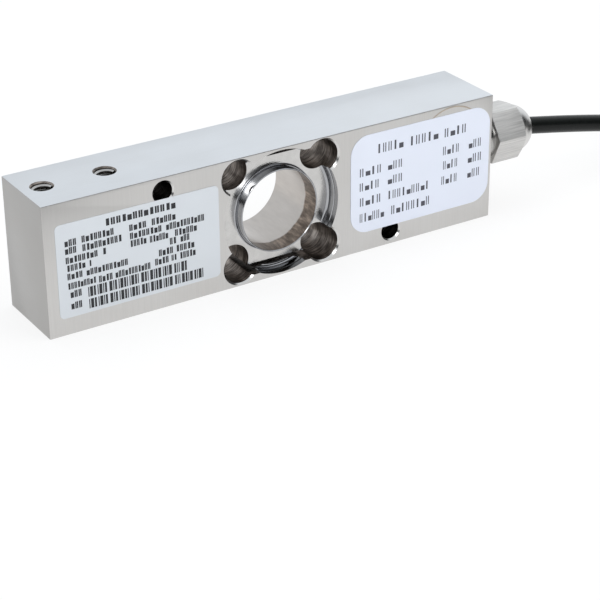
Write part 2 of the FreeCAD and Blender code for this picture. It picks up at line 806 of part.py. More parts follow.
def make_leads():
    """Shrink sleeve on the cut jacket, then seven flying leads with bare strands."""
    end = Vector(*TAIL_ROUTE[-1])
    ahead = end - Vector(*TAIL_ROUTE[-2])
    ahead.z = 0
    ahead.normalize()
    beside = Vector(-ahead.y, ahead.x, 0)
    radius, wall = SIZES["cable_radius"], SIZES["sleeve_wall"]
    long = SIZES["sleeve_length"]
    back = end - ahead * (long / 2)
    outer = Part.makeCylinder(radius + wall, long, back, ahead)
    sleeve = outer.cut(Part.makeCylinder(radius, long, back, ahead))
    keep_shape("end_sleeve", sleeve)
    strands = []
    circle, thin = SIZES["lead_circle"], SIZES["lead_radius"]
    straight = 10
    for colour, length, spread, seat in LEADS:
        start = Vector(end)
        if seat is not None:
            around = math.radians(seat)
            start += beside * (circle * math.cos(around)) + Vector(0, 0, circle * math.sin(around))
        route = [start, start + ahead * straight]
        for share in (0.4, 0.7, 1.0):
            angle = math.radians(spread * (1 + share) / 2)
            way = ahead * math.cos(angle) + beside * math.sin(angle)
            spot = route[1] + way * ((length - straight) * share)
            spot.z = thin + (start.z - thin) * (1 - share) ** 2
            route.append(spot)
        points = [tuple(spot) for spot in route]
        keep_shape("lead_" + colour, round_cord(points, thin, "lead " + colour))
        out = route[-1] - route[-2]
        strand = Part.makeCylinder(SIZES["strand_radius"], SIZES["strand_length"], route[-1], out)
        strands.append(keep_strand(colour, strand))
    keep_group("lead_strands", strands)


def keep_strand(colour, shape):
    piece = DOC.addObject("Part::Feature", "strand_" + colour)
    piece.Shape = shape
    return piece


# ---------------------------------------------------------------- labels
def make_label(name, left, width, bottom, height, corner):
    """A thin film with round corners on the front face."""
    body = new_body(name, (left, "-block_depth / 2", bottom))
    sketch = new_sketch(body, name + "_film", "XZ_Plane")
    corners = []
    arcs = {}
    for number, (across, up, first, last) in enumerate((
        (f"{width} - {corner}", corner, (0, -1), (1, 0)),
        (f"{width} - {corner}", f"{height} - {corner}", (1, 0), (0, 1)),
        (corner, f"{height} - {corner}", (0, 1), (-1, 0)),
        (corner, corner, (-1, 0), (0, -1)),
    )):
        for side, rise in (first, last):
            corners.append((f"{across} + {side} * {corner}", f"{up} + {rise} * {corner}"))
        arcs[2 * number] = (across, up, corner)
    add_outline(sketch, corners, arcs)
    pad(body, sketch, "label_thickness")


def make_labels():
    make_label("type_label", "type_label_left - block_length / 2", "type_label_width",
               "type_label_bottom", "type_label_height", "type_label_corner")
    make_label("wiring_label", "block_length / 2 - wiring_label_right - wiring_label_width",
               "wiring_label_width", "wiring_label_bottom", "wiring_label_height",
               "wiring_label_corner")


# ---------------------------------------------------------------- build, check, write
def main():
    make_spring_body()
    make_liner()
    make_gauges()
    make_gauge_wires()
    make_terminal_board()
    make_board_parts()
    make_cover()
    make_header()
    make_gland_body()
    make_gland_seal()
    make_gland_nut()
    make_cable()
    make_ties()
    make_leads()
    make_labels()
    DOC.recompute()
    for item in DOC.Objects:
        if "Invalid" in item.State or "Error" in item.State:
            raise RuntimeError(f"{item.Name} did not recompute: {item.State}")
    os.makedirs("parts", exist_ok=True)
    for piece in MADE:
        shape = piece.Shape
        if shape.isNull() or not shape.isValid():
            raise RuntimeError(f"{piece.Label} has no valid shape")
        shape.exportStep(f"parts/{piece.Label}.step")
        print(f"{piece.Label}: {len(shape.Solids)} solid(s), {shape.Volume:.1f} mm3")


main()
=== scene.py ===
"""Dresses the single point load cell: ground steel block, bore, gland, labels and folded cable.

Everything is in metres in the part's own frame: X along the block towards the cable gland,
-Y towards the labelled face, Z up from the block's bottom face.
"""

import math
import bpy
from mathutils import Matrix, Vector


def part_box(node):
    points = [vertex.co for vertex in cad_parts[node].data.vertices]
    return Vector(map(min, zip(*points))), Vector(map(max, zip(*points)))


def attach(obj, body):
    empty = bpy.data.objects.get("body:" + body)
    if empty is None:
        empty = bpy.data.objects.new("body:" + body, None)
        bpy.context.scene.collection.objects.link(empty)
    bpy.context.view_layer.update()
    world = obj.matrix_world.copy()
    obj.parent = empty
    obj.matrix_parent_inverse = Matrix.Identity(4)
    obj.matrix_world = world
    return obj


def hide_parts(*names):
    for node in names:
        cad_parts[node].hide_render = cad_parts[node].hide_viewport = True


bl_info = {
    "name": "Single point load cell",
    "version": (1, 0, 0),
    "blender": (4, 5, 0),
    "location": "View3D > Sidebar > Load cell",
    "description": "Builds a stainless single point load cell with its gland and cable",
    "category": "Add Mesh",
}

import bpy
from mathutils import Matrix, Vector

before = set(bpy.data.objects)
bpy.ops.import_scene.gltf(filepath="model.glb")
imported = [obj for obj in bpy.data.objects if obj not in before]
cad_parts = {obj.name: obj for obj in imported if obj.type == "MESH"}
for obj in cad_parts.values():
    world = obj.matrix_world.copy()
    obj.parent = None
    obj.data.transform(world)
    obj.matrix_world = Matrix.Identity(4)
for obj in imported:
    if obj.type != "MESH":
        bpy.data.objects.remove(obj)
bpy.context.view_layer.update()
MM = 0.001

BLOCK_LOW, BLOCK_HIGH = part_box("spring_body")
LINER_LOW, LINER_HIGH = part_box("bore_liner")
BORE_Z = (LINER_LOW.z + LINER_HIGH.z) / 2
GLAND_LOW, GLAND_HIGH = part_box("gland_body")
GLAND_HEIGHT = (GLAND_LOW.z + GLAND_HIGH.z) / 2
NUT_LOW, NUT_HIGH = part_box("gland_nut")
FRONT, BACK = BLOCK_LOW.y, BLOCK_HIGH.y
RIGHT_END, TOP = BLOCK_HIGH.x, BLOCK_HIGH.z


# ---------------------------------------------------------------- sizes and colours
def size(name, text, millimetres):
    return bpy.props.FloatProperty(
        name=name, description=text, default=millimetres * MM, unit="LENGTH"
    )


def paint_colour(name, text, value):
    return bpy.props.FloatVectorProperty(
        name=name, description=text, default=value, size=3, subtype="COLOR", min=0, max=1
    )


class BlockSizes(bpy.types.PropertyGroup):
    edge: size("Edge break", "Width of the broken outer edges", 0.3)
    recess_radius: size("Recess radius", "Radius of the round recess", 19.2)
    recess_depth: size("Recess depth", "Depth of the recess on each face", 4.5)
    wall_lip: size("Wall lip", "Depth of the fine edge round the recess", 1.9)
    wall_step: size("Wall step", "Step inwards behind that edge", 0.2)
    foot_radius: size("Foot radius", "Hollow at the foot of its wall", 1.0)
    neck_fillet: size("Neck fillet", "Fillet between recess and neck", 0.5)
    neck_land: size("Neck land", "Flat rim left round the tube", 0.15)
    tube_wall: size("Tube wall", "Wall of the tube in the opening", 0.4)
    tube_lip: size("Tube lip", "Bevel at the tube's ends", 0.12)
    hole_radius: size("Beam hole radius", "Radius of the bending holes", 5.2)
    hole_spacing: size("Beam hole spacing", "Distance between them", 28.2)
    hole_web: size("Beam web", "Steel left above a bending hole", 0.9)
    hole_chamfer: size("Hole chamfer", "Chamfer at a bending hole's mouth", 0.5)
    beam: size("Beam thickness", "Steel left outside a slot", 2.45)
    slot: size("Slot height", "Height of the slots", 1.3)
    cross_radius: size("Cross hole radius", "Radius of the cross holes", 3)
    cross_spacing: size("Cross hole spacing", "Distance between them", 76.3)
    cross_inset: size("Cross hole inset", "From their axis to the edge", 4.5)
    cross_chamfer: size("Cross chamfer", "Chamfer at their mouths", 0.45)
    thread_radius: size("Thread radius", "Outer radius of the M6 threads", 3)
    thread_mouth: size("Thread mouth", "Radius of the countersink", 3.4)
    thread_depth: size("Thread depth", "Depth of the M6 threads", 12)
    thread_pitch: size("Thread pitch", "Pitch of the M6 threads", 1)
    thread_height: size("Thread height", "How far their ridges stand in", 0.5)
    thread_end: size("Thread end gap", "From the end to the first thread", 6.35)
    thread_gap: size("Thread spacing", "Between the two threads", 19.05)


class GlandSizes(bpy.types.PropertyGroup):
    flats: size("Nut flats", "Width of the nut across its flats", 16.5)
    hexagon: size("Hexagon length", "Length of the nut's flats", 10.7)
    chamfer: size("Nut chamfer", "Chamfer at the end of the flats", 0.4)
    edge: size("Nut edge", "Width of the rounded long edges", 0.3)
    shoulder: size("Nut shoulder", "Radius where the dome starts", 7.7)
    nose: size("Nut nose", "Radius where the dome ends", 4.5)
    mouth: size("Nut mouth", "Radius of the hole for the cable", 3.5)
    thread: size("Nut thread", "Radius of its inside thread", 6.12)
    seal_start: size("Seal start", "From the nut's left end", 7.5)
    seal_end: size("Seal end", "From the nut's left end", 9.4)
    seat_radius: size("Gland seat", "Radius of the block's hole", 5)
    seat_depth: size("Seat depth", "Depth of the block's hole", 5.5)
    tilt: bpy.props.FloatProperty(
        name="Nut tilt", description="Turn of the nut on its thread", default=math.radians(5.3),
        subtype="ANGLE", unit="ROTATION",
    )


class CableSizes(bpy.types.PropertyGroup):
    radius: size("Cable radius", "Half the cable's diameter", 2.75)
    hank_middle: size("Hank radius", "Radius of the hank's folds", 20)
    pitch: size("Turn pitch", "Distance between turns side by side", 5.5)
    hank_bottom: size("First layer", "Height of the first layer's axis", 3.75)
    lead_radius: size("Lead radius", "Half a lead's diameter", 0.65)
    lead_circle: size("Lead circle", "Radius of the ring of leads", 1.75)


class Finishes(bpy.types.PropertyGroup):
    steel: paint_colour("Steel", "Ground stainless steel", (0.62, 0.612, 0.60))
    # drilled walls: a brown tone, darkened well below the block's steel as painted shade inside the
    # holes and slots
    bore: paint_colour("Drilled steel", "Walls of the drilled holes", (0.30, 0.268, 0.245))
    # recess wall, neck and tube outside: darker and bluer than the steel, a painted dark reflection
    mirror: paint_colour("Bright-turned steel", "Recess wall and neck", (0.40, 0.405, 0.42))
    tint: paint_colour("Heat tint", "Brown tint at the tube's front end", (0.16, 0.128, 0.105))
    film: paint_colour("Label film", "Film of the type label", (0.66, 0.688, 0.72))
    wiring: paint_colour("Wiring label", "Film of the wiring label", (0.757, 0.79, 0.885))
    type_corner: size("Type corner", "Corner radius of the type label", 1.5)
    wiring_corner: size("Wiring corner", "The same on the other label", 6)
    ink: paint_colour("Ink", "Print on the labels", (0.014, 0.014, 0.018))
    jacket: paint_colour("Jacket", "Cable jacket", (0.005, 0.006, 0.0055))


# ---------------------------------------------------------------- nodes
class Chain:
    """Shader nodes of one material or world, set one after the other."""

    def __init__(self, tree):
        self.nodes, self.links = tree.nodes, tree.links

    def node(self, kind, **settings):
        node = self.nodes.new("ShaderNode" + kind)
        for key, value in settings.items():
            if key in node.inputs:
                node.inputs[key].default_value = value
            else:
                setattr(node, key, value)
        return node

    def grey(self, value, low, high, start=0.3, stop=0.7, smooth=False):
        """A number that runs from low to high as the value runs from start to stop."""
        remap = self.node("MapRange", interpolation_type="SMOOTHSTEP" if smooth else "LINEAR")
        for socket, number in (("From Min", start), ("From Max", stop),
                               ("To Min", low), ("To Max", high)):
            remap.inputs[socket].default_value = number
        self.links.new(value, remap.inputs["Value"])
        return remap.outputs["Result"]

    def maths(self, operation, first, second=None):
        node = self.node("Math", operation=operation)
        for socket, source in zip(node.inputs, (first, second)):
            if isinstance(source, bpy.types.NodeSocket):
                self.links.new(source, socket)
            elif source is not None:
                socket.default_value = source
        return node.outputs[0]

    def blend_shaders(self, factor, first, second):
        """The first shader where the factor is 0 and the second where it is 1."""
        blend = self.node("MixShader")
        for socket, source in zip(blend.inputs, (factor, first, second)):
            self.links.new(source, socket)
        return blend.outputs[0]


class Recipe(Chain):
    """One node material, written as a chain of small steps."""

    def __init__(self, name, colour, metallic, roughness, **sockets):
        self.material = bpy.data.materials.new(name)
        self.material.use_nodes = True
        super().__init__(self.material.node_tree)
        self.shader = self.nodes["Principled BSDF"]
        self.shader.inputs["Base Color"].default_value = (*colour, 1)
        self.shader.inputs["Metallic"].default_value = metallic
        self.shader.inputs["Roughness"].default_value = roughness
        for socket, value in sockets.items():
            self.shader.inputs[socket.replace("_", " ")].default_value = value
        self.material.diffuse_color = (*colour, 1)

    def place(self, scale=(1, 1, 1), at=(0, 0, 0), turned=(0, 0, 0)):
        """Object coordinates, in a frame set at a place and stretched along its axes."""
        coordinates = self.node("TexCoord")
        mapping = self.node("Mapping", vector_type="TEXTURE")
        mapping.inputs["Location"].default_value = at
        mapping.inputs["Rotation"].default_value = turned
        mapping.inputs["Scale"].default_value = scale
        self.links.new(coordinates.outputs["Object"], mapping.inputs["Vector"])
        return mapping.outputs["Vector"]

    def noise(self, vector, detail=3.0):
        noise = self.node("TexNoise", Scale=1.0, Detail=detail, Roughness=0.6)
        self.links.new(vector, noise.inputs["Vector"])
        return noise.outputs["Fac"]

    def ramp(self, value, *stops):
        """Maps a value through (position, colour) stops."""
        ramp = self.node("ValToRGB")
        elements = ramp.color_ramp.elements
        while len(elements) < len(stops):
            elements.new(0.5)
        for element, (position, colour) in zip(elements, stops):
            element.position = position
            element.color = (*colour, 1)
        self.links.new(value, ramp.inputs["Fac"])
        return ramp.outputs["Color"]

    def mix(self, factor, first, second, blend="MIX"):
        mix = self.node("Mix", data_type="RGBA", blend_type=blend)
        if isinstance(factor, bpy.types.NodeSocket):
            self.links.new(factor, mix.inputs[0])
        else:
            mix.inputs[0].default_value = factor
        self.links.new(first, mix.inputs[6])
        self.links.new(second, mix.inputs[7])
        return mix.outputs[2]

    def colour(self, source):
        self.links.new(source, self.shader.inputs["Base Color"])
        return self

    def rough(self, source):
        self.links.new(source, self.shader.inputs["Roughness"])
        return self

    def bump(self, height, strength, distance):
        bump = self.node("Bump", Strength=strength, Distance=distance)
        self.links.new(height, bump.inputs["Height"])
        self.links.new(bump.outputs["Normal"], self.shader.inputs["Normal"])
        return self


def shade(colour, factor):
    return tuple(min(1.0, part * factor) for part in colour)


def ground_steel(name, colour, along, roughness=0.34, streak=1.0, metallic=1.0):
    """Fine ground steel, its scratches running along one axis."""
    recipe = Recipe(name, colour, metallic, roughness)
    stretch = [0.00035, 0.00035, 0.00035]
    stretch["XYZ".index(along)] = 0.012
    fine = recipe.noise(recipe.place(stretch), 4.0)
    broad = recipe.noise(recipe.place((0.02, 0.02, 0.02)), 2.0)
    dark, light = shade(colour, 1 - 0.07 * streak), shade(colour, 1 + 0.05 * streak)
    tone = recipe.ramp(fine, (0.25, dark), (0.75, light))
    cloud = recipe.ramp(broad, (0.3, (0.96, 0.955, 0.95)), (0.7, (1, 1, 1)))
    recipe.colour(recipe.mix(1.0, tone, cloud, "MULTIPLY"))
    recipe.rough(recipe.grey(fine, roughness - 0.05, roughness + 0.07))
    return recipe.bump(fine, 0.10 * streak, 0.00004).material


def turned_steel(name, colour, axis, at, pitch, roughness, depth=0.12):
    """Steel turned on a lathe: fine rings round one axis."""
    recipe = Recipe(name, colour, 1.0, roughness)
    turned = {"Y": (math.radians(90), 0, 0), "X": (0, math.radians(90), 0), "Z": (0, 0, 0)}[axis]
    place = recipe.place((1, 1, 1), at, turned)
    rings = recipe.node("TexWave", wave_type="RINGS", rings_direction="Z")
    rings.inputs["Scale"].default_value = 0.314 / pitch
    rings.inputs["Distortion"].default_value = 1.2
    rings.inputs["Detail"].default_value = 2
    rings.inputs["Detail Scale"].default_value = 2
    recipe.links.new(place, rings.inputs["Vector"])
    mottle = recipe.noise(recipe.place((0.004, 0.004, 0.004)), 3.0)
    recipe.colour(recipe.ramp(mottle, (0.3, shade(colour, 0.9)), (0.7, shade(colour, 1.07))))
    recipe.rough(recipe.grey(mottle, roughness * 0.8, roughness * 1.25))
    return recipe.bump(rings.outputs["Fac"], depth, 0.00003).material


def drilled_steel(name, colour):
    """Wall of a drilled or milled hole, dark with painted shade, with feed marks round it and a
    stained tone.
    """
    recipe = Recipe(name, colour, 1.0, 0.38)
    feed = recipe.node("TexWave", wave_type="BANDS", bands_direction="Y")
    feed.inputs["Scale"].default_value = 500
    feed.inputs["Distortion"].default_value = 3.0
    feed.inputs["Detail"].default_value = 2
    recipe.links.new(recipe.place(), feed.inputs["Vector"])
    marks = recipe.noise(recipe.place((0.006, 0.00055, 0.006)), 3.0)
    stains = recipe.noise(recipe.place((0.003, 0.005, 0.003)), 1.0)
    tone = recipe.ramp(marks, (0.36, shade(colour, 0.5)), (0.5, colour), (0.64, shade(colour, 1.9)))
    shadow = recipe.ramp(stains, (0.4, (0.42, 0.40, 0.38)), (0.62, (1, 1, 1)))
    recipe.colour(recipe.mix(1.0, tone, shadow, "MULTIPLY"))
    recipe.rough(recipe.grey(marks, 0.24, 0.44))
    height = recipe.maths("ADD", recipe.maths("MULTIPLY", feed.outputs["Fac"], 0.4), marks)
    return recipe.bump(height, 0.35, 0.00005).material


def tube_steel(name, colour, tint):
    """The liner's inside: pale drawn steel, brown and rippled for 6 mm behind its front lip."""
    recipe = Recipe(name, colour, 1.0, 0.3)
    place = recipe.place()
    split = recipe.node("SeparateXYZ")
    recipe.links.new(place, split.inputs["Vector"])
    depth = recipe.maths("MULTIPLY", split.outputs["Y"], -1.0)
    wander = recipe.noise(recipe.place((0.003, 0.01, 0.003)), 2.0)
    edge = recipe.maths("ADD", depth, recipe.maths("MULTIPLY", wander, 0.0012))
    zone = recipe.grey(edge, 0.0, 1.0, 0.0056, 0.0062)
    streaks = recipe.noise(recipe.place((0.0012, 0.006, 0.0012)), 3.0)
    clean = recipe.ramp(streaks, (0.3, shade(colour, 0.93)), (0.7, shade(colour, 1.04)))
    ripples = recipe.noise(recipe.place((0.0009, 0.004, 0.0009)), 3.0)
    brown = recipe.ramp(ripples, (0.3, shade(tint, 0.5)), (0.5, tint), (0.7, shade(tint, 2.0)))
    recipe.colour(recipe.mix(zone, clean, brown))
    recipe.rough(recipe.grey(zone, 0.33, 0.24, 0.0, 1.0))
    return recipe.bump(recipe.maths("MULTIPLY", ripples, zone), 0.3, 0.00012).material


def plastic(name, colour, roughness, grain=0.0006, depth=0.08, **sockets):
    """Moulded or extruded plastic with a faint grain."""
    recipe = Recipe(name, colour, 0.0, roughness, **sockets)
    grain_height = recipe.noise(recipe.place((grain, grain, grain)), 3.0)
    recipe.colour(recipe.ramp(grain_height, (0.3, shade(colour, 0.88)), (0.7, shade(colour, 1.1))))
    recipe.rough(recipe.grey(grain_height, roughness - 0.04, roughness + 0.06))
    return recipe.bump(grain_height, depth, 0.00003).material


def label_film(name, colour):
    """Matte label film with a very fine tooth."""
    recipe = Recipe(name, colour, 0.0, 0.42, Specular_IOR_Level=0.35)
    tooth = recipe.noise(recipe.place((0.0004, 0.0004, 0.0004)), 3.0)
    cloud = recipe.noise(recipe.place((0.018, 0.018, 0.018)), 1.0)
    recipe.colour(recipe.ramp(cloud, (0.3, shade(colour, 0.975)), (0.7, shade(colour, 1.01))))
    recipe.rough(recipe.grey(tooth, 0.38, 0.48))
    return recipe.bump(tooth, 0.06, 0.00002).material


# ---------------------------------------------------------------- modelling helpers
def leave_all():
    """Object mode with nothing selected."""
    if bpy.context.object and bpy.context.object.mode != "OBJECT":
        bpy.ops.object.mode_set(mode="OBJECT")
    bpy.ops.object.select_all(action="DESELECT")


def only(piece):
    leave_all()
    piece.select_set(True)
    bpy.context.view_layer.objects.active = piece
    return piece


def settle(piece, smooth=25):
    """Puts a piece's place into its mesh and smooths its round faces."""
    only(piece)
    bpy.ops.object.transform_apply(location=True, rotation=True, scale=True)
    if smooth:
        bpy.ops.object.shade_smooth_by_angle(angle=math.radians(smooth))
    return piece


AIMS = {
    "Z": (0, 0, 0),
    "X": (0, math.radians(90), 0),
    "Y": (math.radians(-90), 0, 0),
    "-Z": (math.radians(180), 0, 0),
    "-Y": (math.radians(90), 0, 0),
}


def turned_piece(name, rings, place=(0, 0, 0), aim="Z", sides=96, hollow=False):
    """A piece of revolution from (distance along, radius) rings; a hollow one is a closed wall."""
    leave_all()
    along, radius = rings[0]
    bpy.ops.mesh.primitive_circle_add(
        vertices=sides, radius=radius, location=(0, 0, along),
        fill_type="NOTHING" if hollow else "NGON",
    )
    piece = bpy.context.object
    piece.name = name
    bpy.ops.object.transform_apply(location=True)
    bpy.ops.object.mode_set(mode="EDIT")
    bpy.ops.mesh.select_all(action="SELECT")
    for next_along, next_radius in rings[1:]:
        bpy.ops.mesh.extrude_region_move(
            TRANSFORM_OT_translate={"value": (0, 0, next_along - along)}
        )
        if next_radius != radius:
            factor = next_radius / radius
            bpy.ops.transform.resize(
                value=(factor, factor, 1), center_override=(0, 0, next_along)
            )
        along, radius = next_along, next_radius
    bpy.ops.mesh.select_all(action="SELECT")
    if hollow:
        bpy.ops.mesh.remove_doubles(threshold=0.000002)
    bpy.ops.mesh.normals_make_consistent(inside=False)
    bpy.ops.object.mode_set(mode="OBJECT")
    piece.location = place
    piece.rotation_euler = AIMS[aim]
    only(piece)
    bpy.ops.object.transform_apply(location=True, rotation=True)
    return piece


def box_piece(name, low, high, bevel=0.0, segments=2):
    """A bevelled box between two corners."""
    leave_all()
    middle = [(a + b) / 2 for a, b in zip(low, high)]
    bpy.ops.mesh.primitive_cube_add(size=1, location=middle)
    piece = bpy.context.object
    piece.name = name
    piece.scale = [b - a for a, b in zip(low, high)]
    bpy.ops.object.transform_apply(location=True, scale=True)
    if bevel:
        bpy.ops.object.mode_set(mode="EDIT")
        bpy.ops.mesh.select_all(action="SELECT")
        bpy.ops.mesh.bevel(offset=bevel, segments=segments, affect="EDGES")
        bpy.ops.object.mode_set(mode="OBJECT")
    return piece


def paint(piece, material):
    piece.data.materials.clear()
    piece.data.materials.append(material)
    return piece


def paint_where(piece, material, wanted):
    """Gives the faces that pass a test a finish of their own."""
    piece.data.materials.append(material)
    for face in piece.data.polygons:
        if wanted(face):
            face.material_index = len(piece.data.materials) - 1
    return piece


def combine(piece, other, operation):
    only(piece)
    boolean = piece.modifiers.new("combine", "BOOLEAN")
    boolean.operation = operation
    boolean.solver = "EXACT"
    boolean.material_mode = "TRANSFER"
    boolean.object = other
    bpy.ops.object.modifier_apply(modifier=boolean.name)
    bpy.data.objects.remove(other)
    return piece


def cut(piece, cutter):
    """Takes one solid out of another; the cut faces keep the cutter's finish."""
    return combine(piece, cutter, "DIFFERENCE")


def keep_common(piece, form):
    """Leaves what lies in both solids."""
    return combine(piece, form, "INTERSECT")


def join(first, *others):
    """Joins loose pieces into the first one."""
    only(first)
    for other in others:
        other.select_set(True)
    bpy.ops.object.join()
    return first


def install(piece, slot, *nodes):
    """Rides the piece on the cell and hides the nodes it stands for. The slot is not used."""
    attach(piece, "root")
    if nodes:
        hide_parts(*nodes)
    return piece


def dress(node, material):
    """A better material on a node that keeps its own shape."""
    paint(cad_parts[node], material)


def finishes():
    return bpy.context.scene.cell_finishes


def block_sizes():
    return bpy.context.scene.cell_block


def gland_sizes():
    return bpy.context.scene.cell_gland


def cable_sizes():
    return bpy.context.scene.cell_cable


# ---------------------------------------------------------------- stage
# the camera's place and its three axes
VIEW_POINT = Vector((-0.265116, -0.447084, 0.253379))
VIEW_RIGHT = Vector((0.8466684, -0.53207485, -0.00699815))
VIEW_UP = Vector((0.24873281, 0.38410341, 0.88915497))
VIEW_BACK = Vector((-0.47040899, -0.75456008, 0.45755269))
# the room's tint, what the camera sees past the floor, the way to the left lamp, and how
# bright room, dark side and floor are
AIR = (0.94, 0.97, 1.0)
BACKDROP = (0.8, 0.8, 0.8)
LEFT_LAMP_WAY = (-0.458, -0.757, 0.467)
SOFT_SHARE, DARK_SHARE, FLOOR_GLOW = 0.5, 0.04, 0.82
# name, place, width, height, watts, colour, seen in polished steel
LAMPS = [
    ("lamp_top", (0.1, 0.25, 0.9), 1.2, 1.0, 7, AIR, False),
    ("lamp_front", (0.62, -0.66, 1.05), 0.9, 0.7, 6, (1.0, 0.99, 0.97), False),
    ("lamp_left", (-0.7, -1.15, 0.72), 0.5, 0.5, 4, (1, 1, 1), True),
]
LAMP_TARGET = (0, 0, 0.02)


def area_lamp(name, at, width, height, watts, colour, mirrored):
    data = bpy.data.lights.new(name, "AREA")
    data.shape = "RECTANGLE"
    data.size, data.size_y = width, height
    data.energy = watts
    data.color = colour
    lamp = bpy.data.objects.new(name, data)
    bpy.context.scene.collection.objects.link(lamp)
    lamp.location = at
    lamp.rotation_euler = (Vector(LAMP_TARGET) - Vector(at)).to_track_quat("-Z", "Y").to_euler()
    lamp.visible_glossy = mirrored


def studio_world():
    """A white room. Polished steel sees it dark low behind the viewer, apart from one soft lamp."""
    world = bpy.data.worlds.new("studio")
    world.use_nodes = True
    chain = Chain(world.node_tree)
    soft = chain.nodes["Background"]
    soft.inputs["Color"].default_value = (*AIR, 1)
    soft.inputs["Strength"].default_value = SOFT_SHARE
    room = chain.node("Background", Color=(*AIR, 1))
    backdrop = chain.node("Background", Color=(*BACKDROP, 1))
    way = chain.node("TexCoord").outputs["Generated"]
    split = chain.node("SeparateXYZ")
    chain.links.new(way, split.inputs[0])
    lamp = chain.node("VectorMath", operation="DOT_PRODUCT")
    lamp.inputs[1].default_value = LEFT_LAMP_WAY
    chain.links.new(way, lamp.inputs[0])
    # bright far off, high up and towards the left lamp, and a little more to the right
    far = chain.grey(split.outputs["Y"], 0, 1, -0.15, 0.25, True)
    high = chain.grey(split.outputs["Z"], 0, 1, 0.42, 0.8, True)
    near_lamp = chain.grey(lamp.outputs["Value"], 0, 1, 0.9, 0.97, True)
    light = chain.maths("MAXIMUM", chain.maths("MAXIMUM", far, high), near_lamp)
    rightward = chain.grey(split.outputs["X"], 0.95, 1.1, 0.3, 0.62, True)
    shine = chain.grey(light, DARK_SHARE, 1, 0, 1, True)
    chain.links.new(chain.maths("MULTIPLY", shine, rightward), room.inputs["Strength"])
    rays = chain.node("LightPath").outputs
    reflected = chain.blend_shaders(rays["Is Glossy Ray"], soft.outputs[0], room.outputs[0])
    straight = chain.maths("MAXIMUM", rays["Is Camera Ray"], rays["Is Transmission Ray"])
    seen = chain.blend_shaders(straight, reflected, backdrop.outputs[0])
    chain.links.new(seen, chain.nodes["World Output"].inputs["Surface"])
    return world


def pale_floor():
    """Matt paper that also glows a little where a camera or a mirror sees it."""
    paper = Recipe("pale_floor", (0.86, 0.865, 0.87), 0.0, 0.9)
    glow = paper.node("Emission", Strength=1.0)
    rays = paper.node("LightPath").outputs
    mirrored = paper.maths("MAXIMUM", rays["Is Glossy Ray"], rays["Is Transmission Ray"])
    seen = paper.maths("MAXIMUM", rays["Is Camera Ray"], mirrored)
    share = paper.maths("MULTIPLY", seen, FLOOR_GLOW)
    both = paper.blend_shaders(share, paper.shader.outputs[0], glow.outputs[0])
    paper.links.new(both, paper.nodes["Material Output"].inputs["Surface"])
    return paper.material


class LOADCELL_OT_stage(bpy.types.Operator):
    """Camera, soft lamps, world and the pale floor"""

    bl_idname = "loadcell.stage"
    bl_label = "Stage"

    def execute(self, context):
        scene = context.scene
        scene.view_settings.view_transform = "Standard"
        camera = bpy.data.cameras.new("view")
        camera.lens, camera.sensor_width = 116.7, 36
        camera.clip_start, camera.clip_end = 0.01, 20
        eye = bpy.data.objects.new("view", camera)
        scene.collection.objects.link(eye)
        turn = Matrix((VIEW_RIGHT, VIEW_UP, VIEW_BACK)).transposed().to_4x4()
        eye.matrix_world = Matrix.Translation(VIEW_POINT) @ turn
        scene.camera = eye

        scene.world = studio_world()
        for lamp in LAMPS:
            area_lamp(*lamp)

        leave_all()
        bpy.ops.mesh.primitive_plane_add(size=6, location=(0, 0, 0))
        floor = bpy.context.object
        floor.name = "floor"
        bpy.ops.object.mode_set(mode="EDIT")
        bpy.ops.mesh.subdivide(number_cuts=2)
        bpy.ops.object.mode_set(mode="OBJECT")
        paint(floor, pale_floor())
        return {"FINISHED"}


# ---------------------------------------------------------------- cable
# millimetres: from the gland to the hank, and from the hank to the cut end
CABLE_ROUTE = [
    (85.4, 0.0, 21.2),
    (95.0, 0.0, 21.2),
    (105.5, 0.0, 19.35),
    (119.0, 0.0, 16.8),
    (134.0, 0.0, 13.65),
    (147.0, 1.4, 9.6),
    (158.5, 5.0, 5.9),
    (168.0, 8.4, 4.2),
    (177.0, 9.75, 3.75),
]
TAIL_ROUTE = [
    (258.5, -30.25, 4.3),
    (248.0, -29.3, 4.1),
    (237.5, -25.8, 3.6),
    (227.0, -21.0, 3.15),
    (214.5, -16.5, 3.15),
]
# colour, length in millimetres, spread and seat in degrees
LEADS = [
    ("green", 38, -3, 180),
    ("white", 39, 3.5, 120),
    ("yellow_short", 31, 10, 240),
    ("yellow_long", 44, 16.5, None),
    ("black", 39, 23, 300),
    ("red", 38, 29.5, 60),
    ("blue", 38, 36, 0),
]
LEAD_COLOURS = {
    "green": (0.02, 0.30, 0.08),
    "white": (0.85, 0.85, 0.83),
    "yellow_short": (0.85, 0.65, 0.05),
    "yellow_long": (0.85, 0.65, 0.05),
    "black": (0.03, 0.03, 0.03),
    "red": (0.60, 0.03, 0.03),
    "blue": (0.03, 0.12, 0.50),
}
# the hank in millimetres: its left fold's centre, its straight run and its middle line
HANK_LEFT, HANK_RUN, HANK_MIDDLE = 176.0, 82.5, -13.0
HANK_LAYERS = 5
FOLD_ANGLES = (75, 45, 15, -15, -45, -75)
FOLD_REACH = 1 / math.cos(math.radians(15))


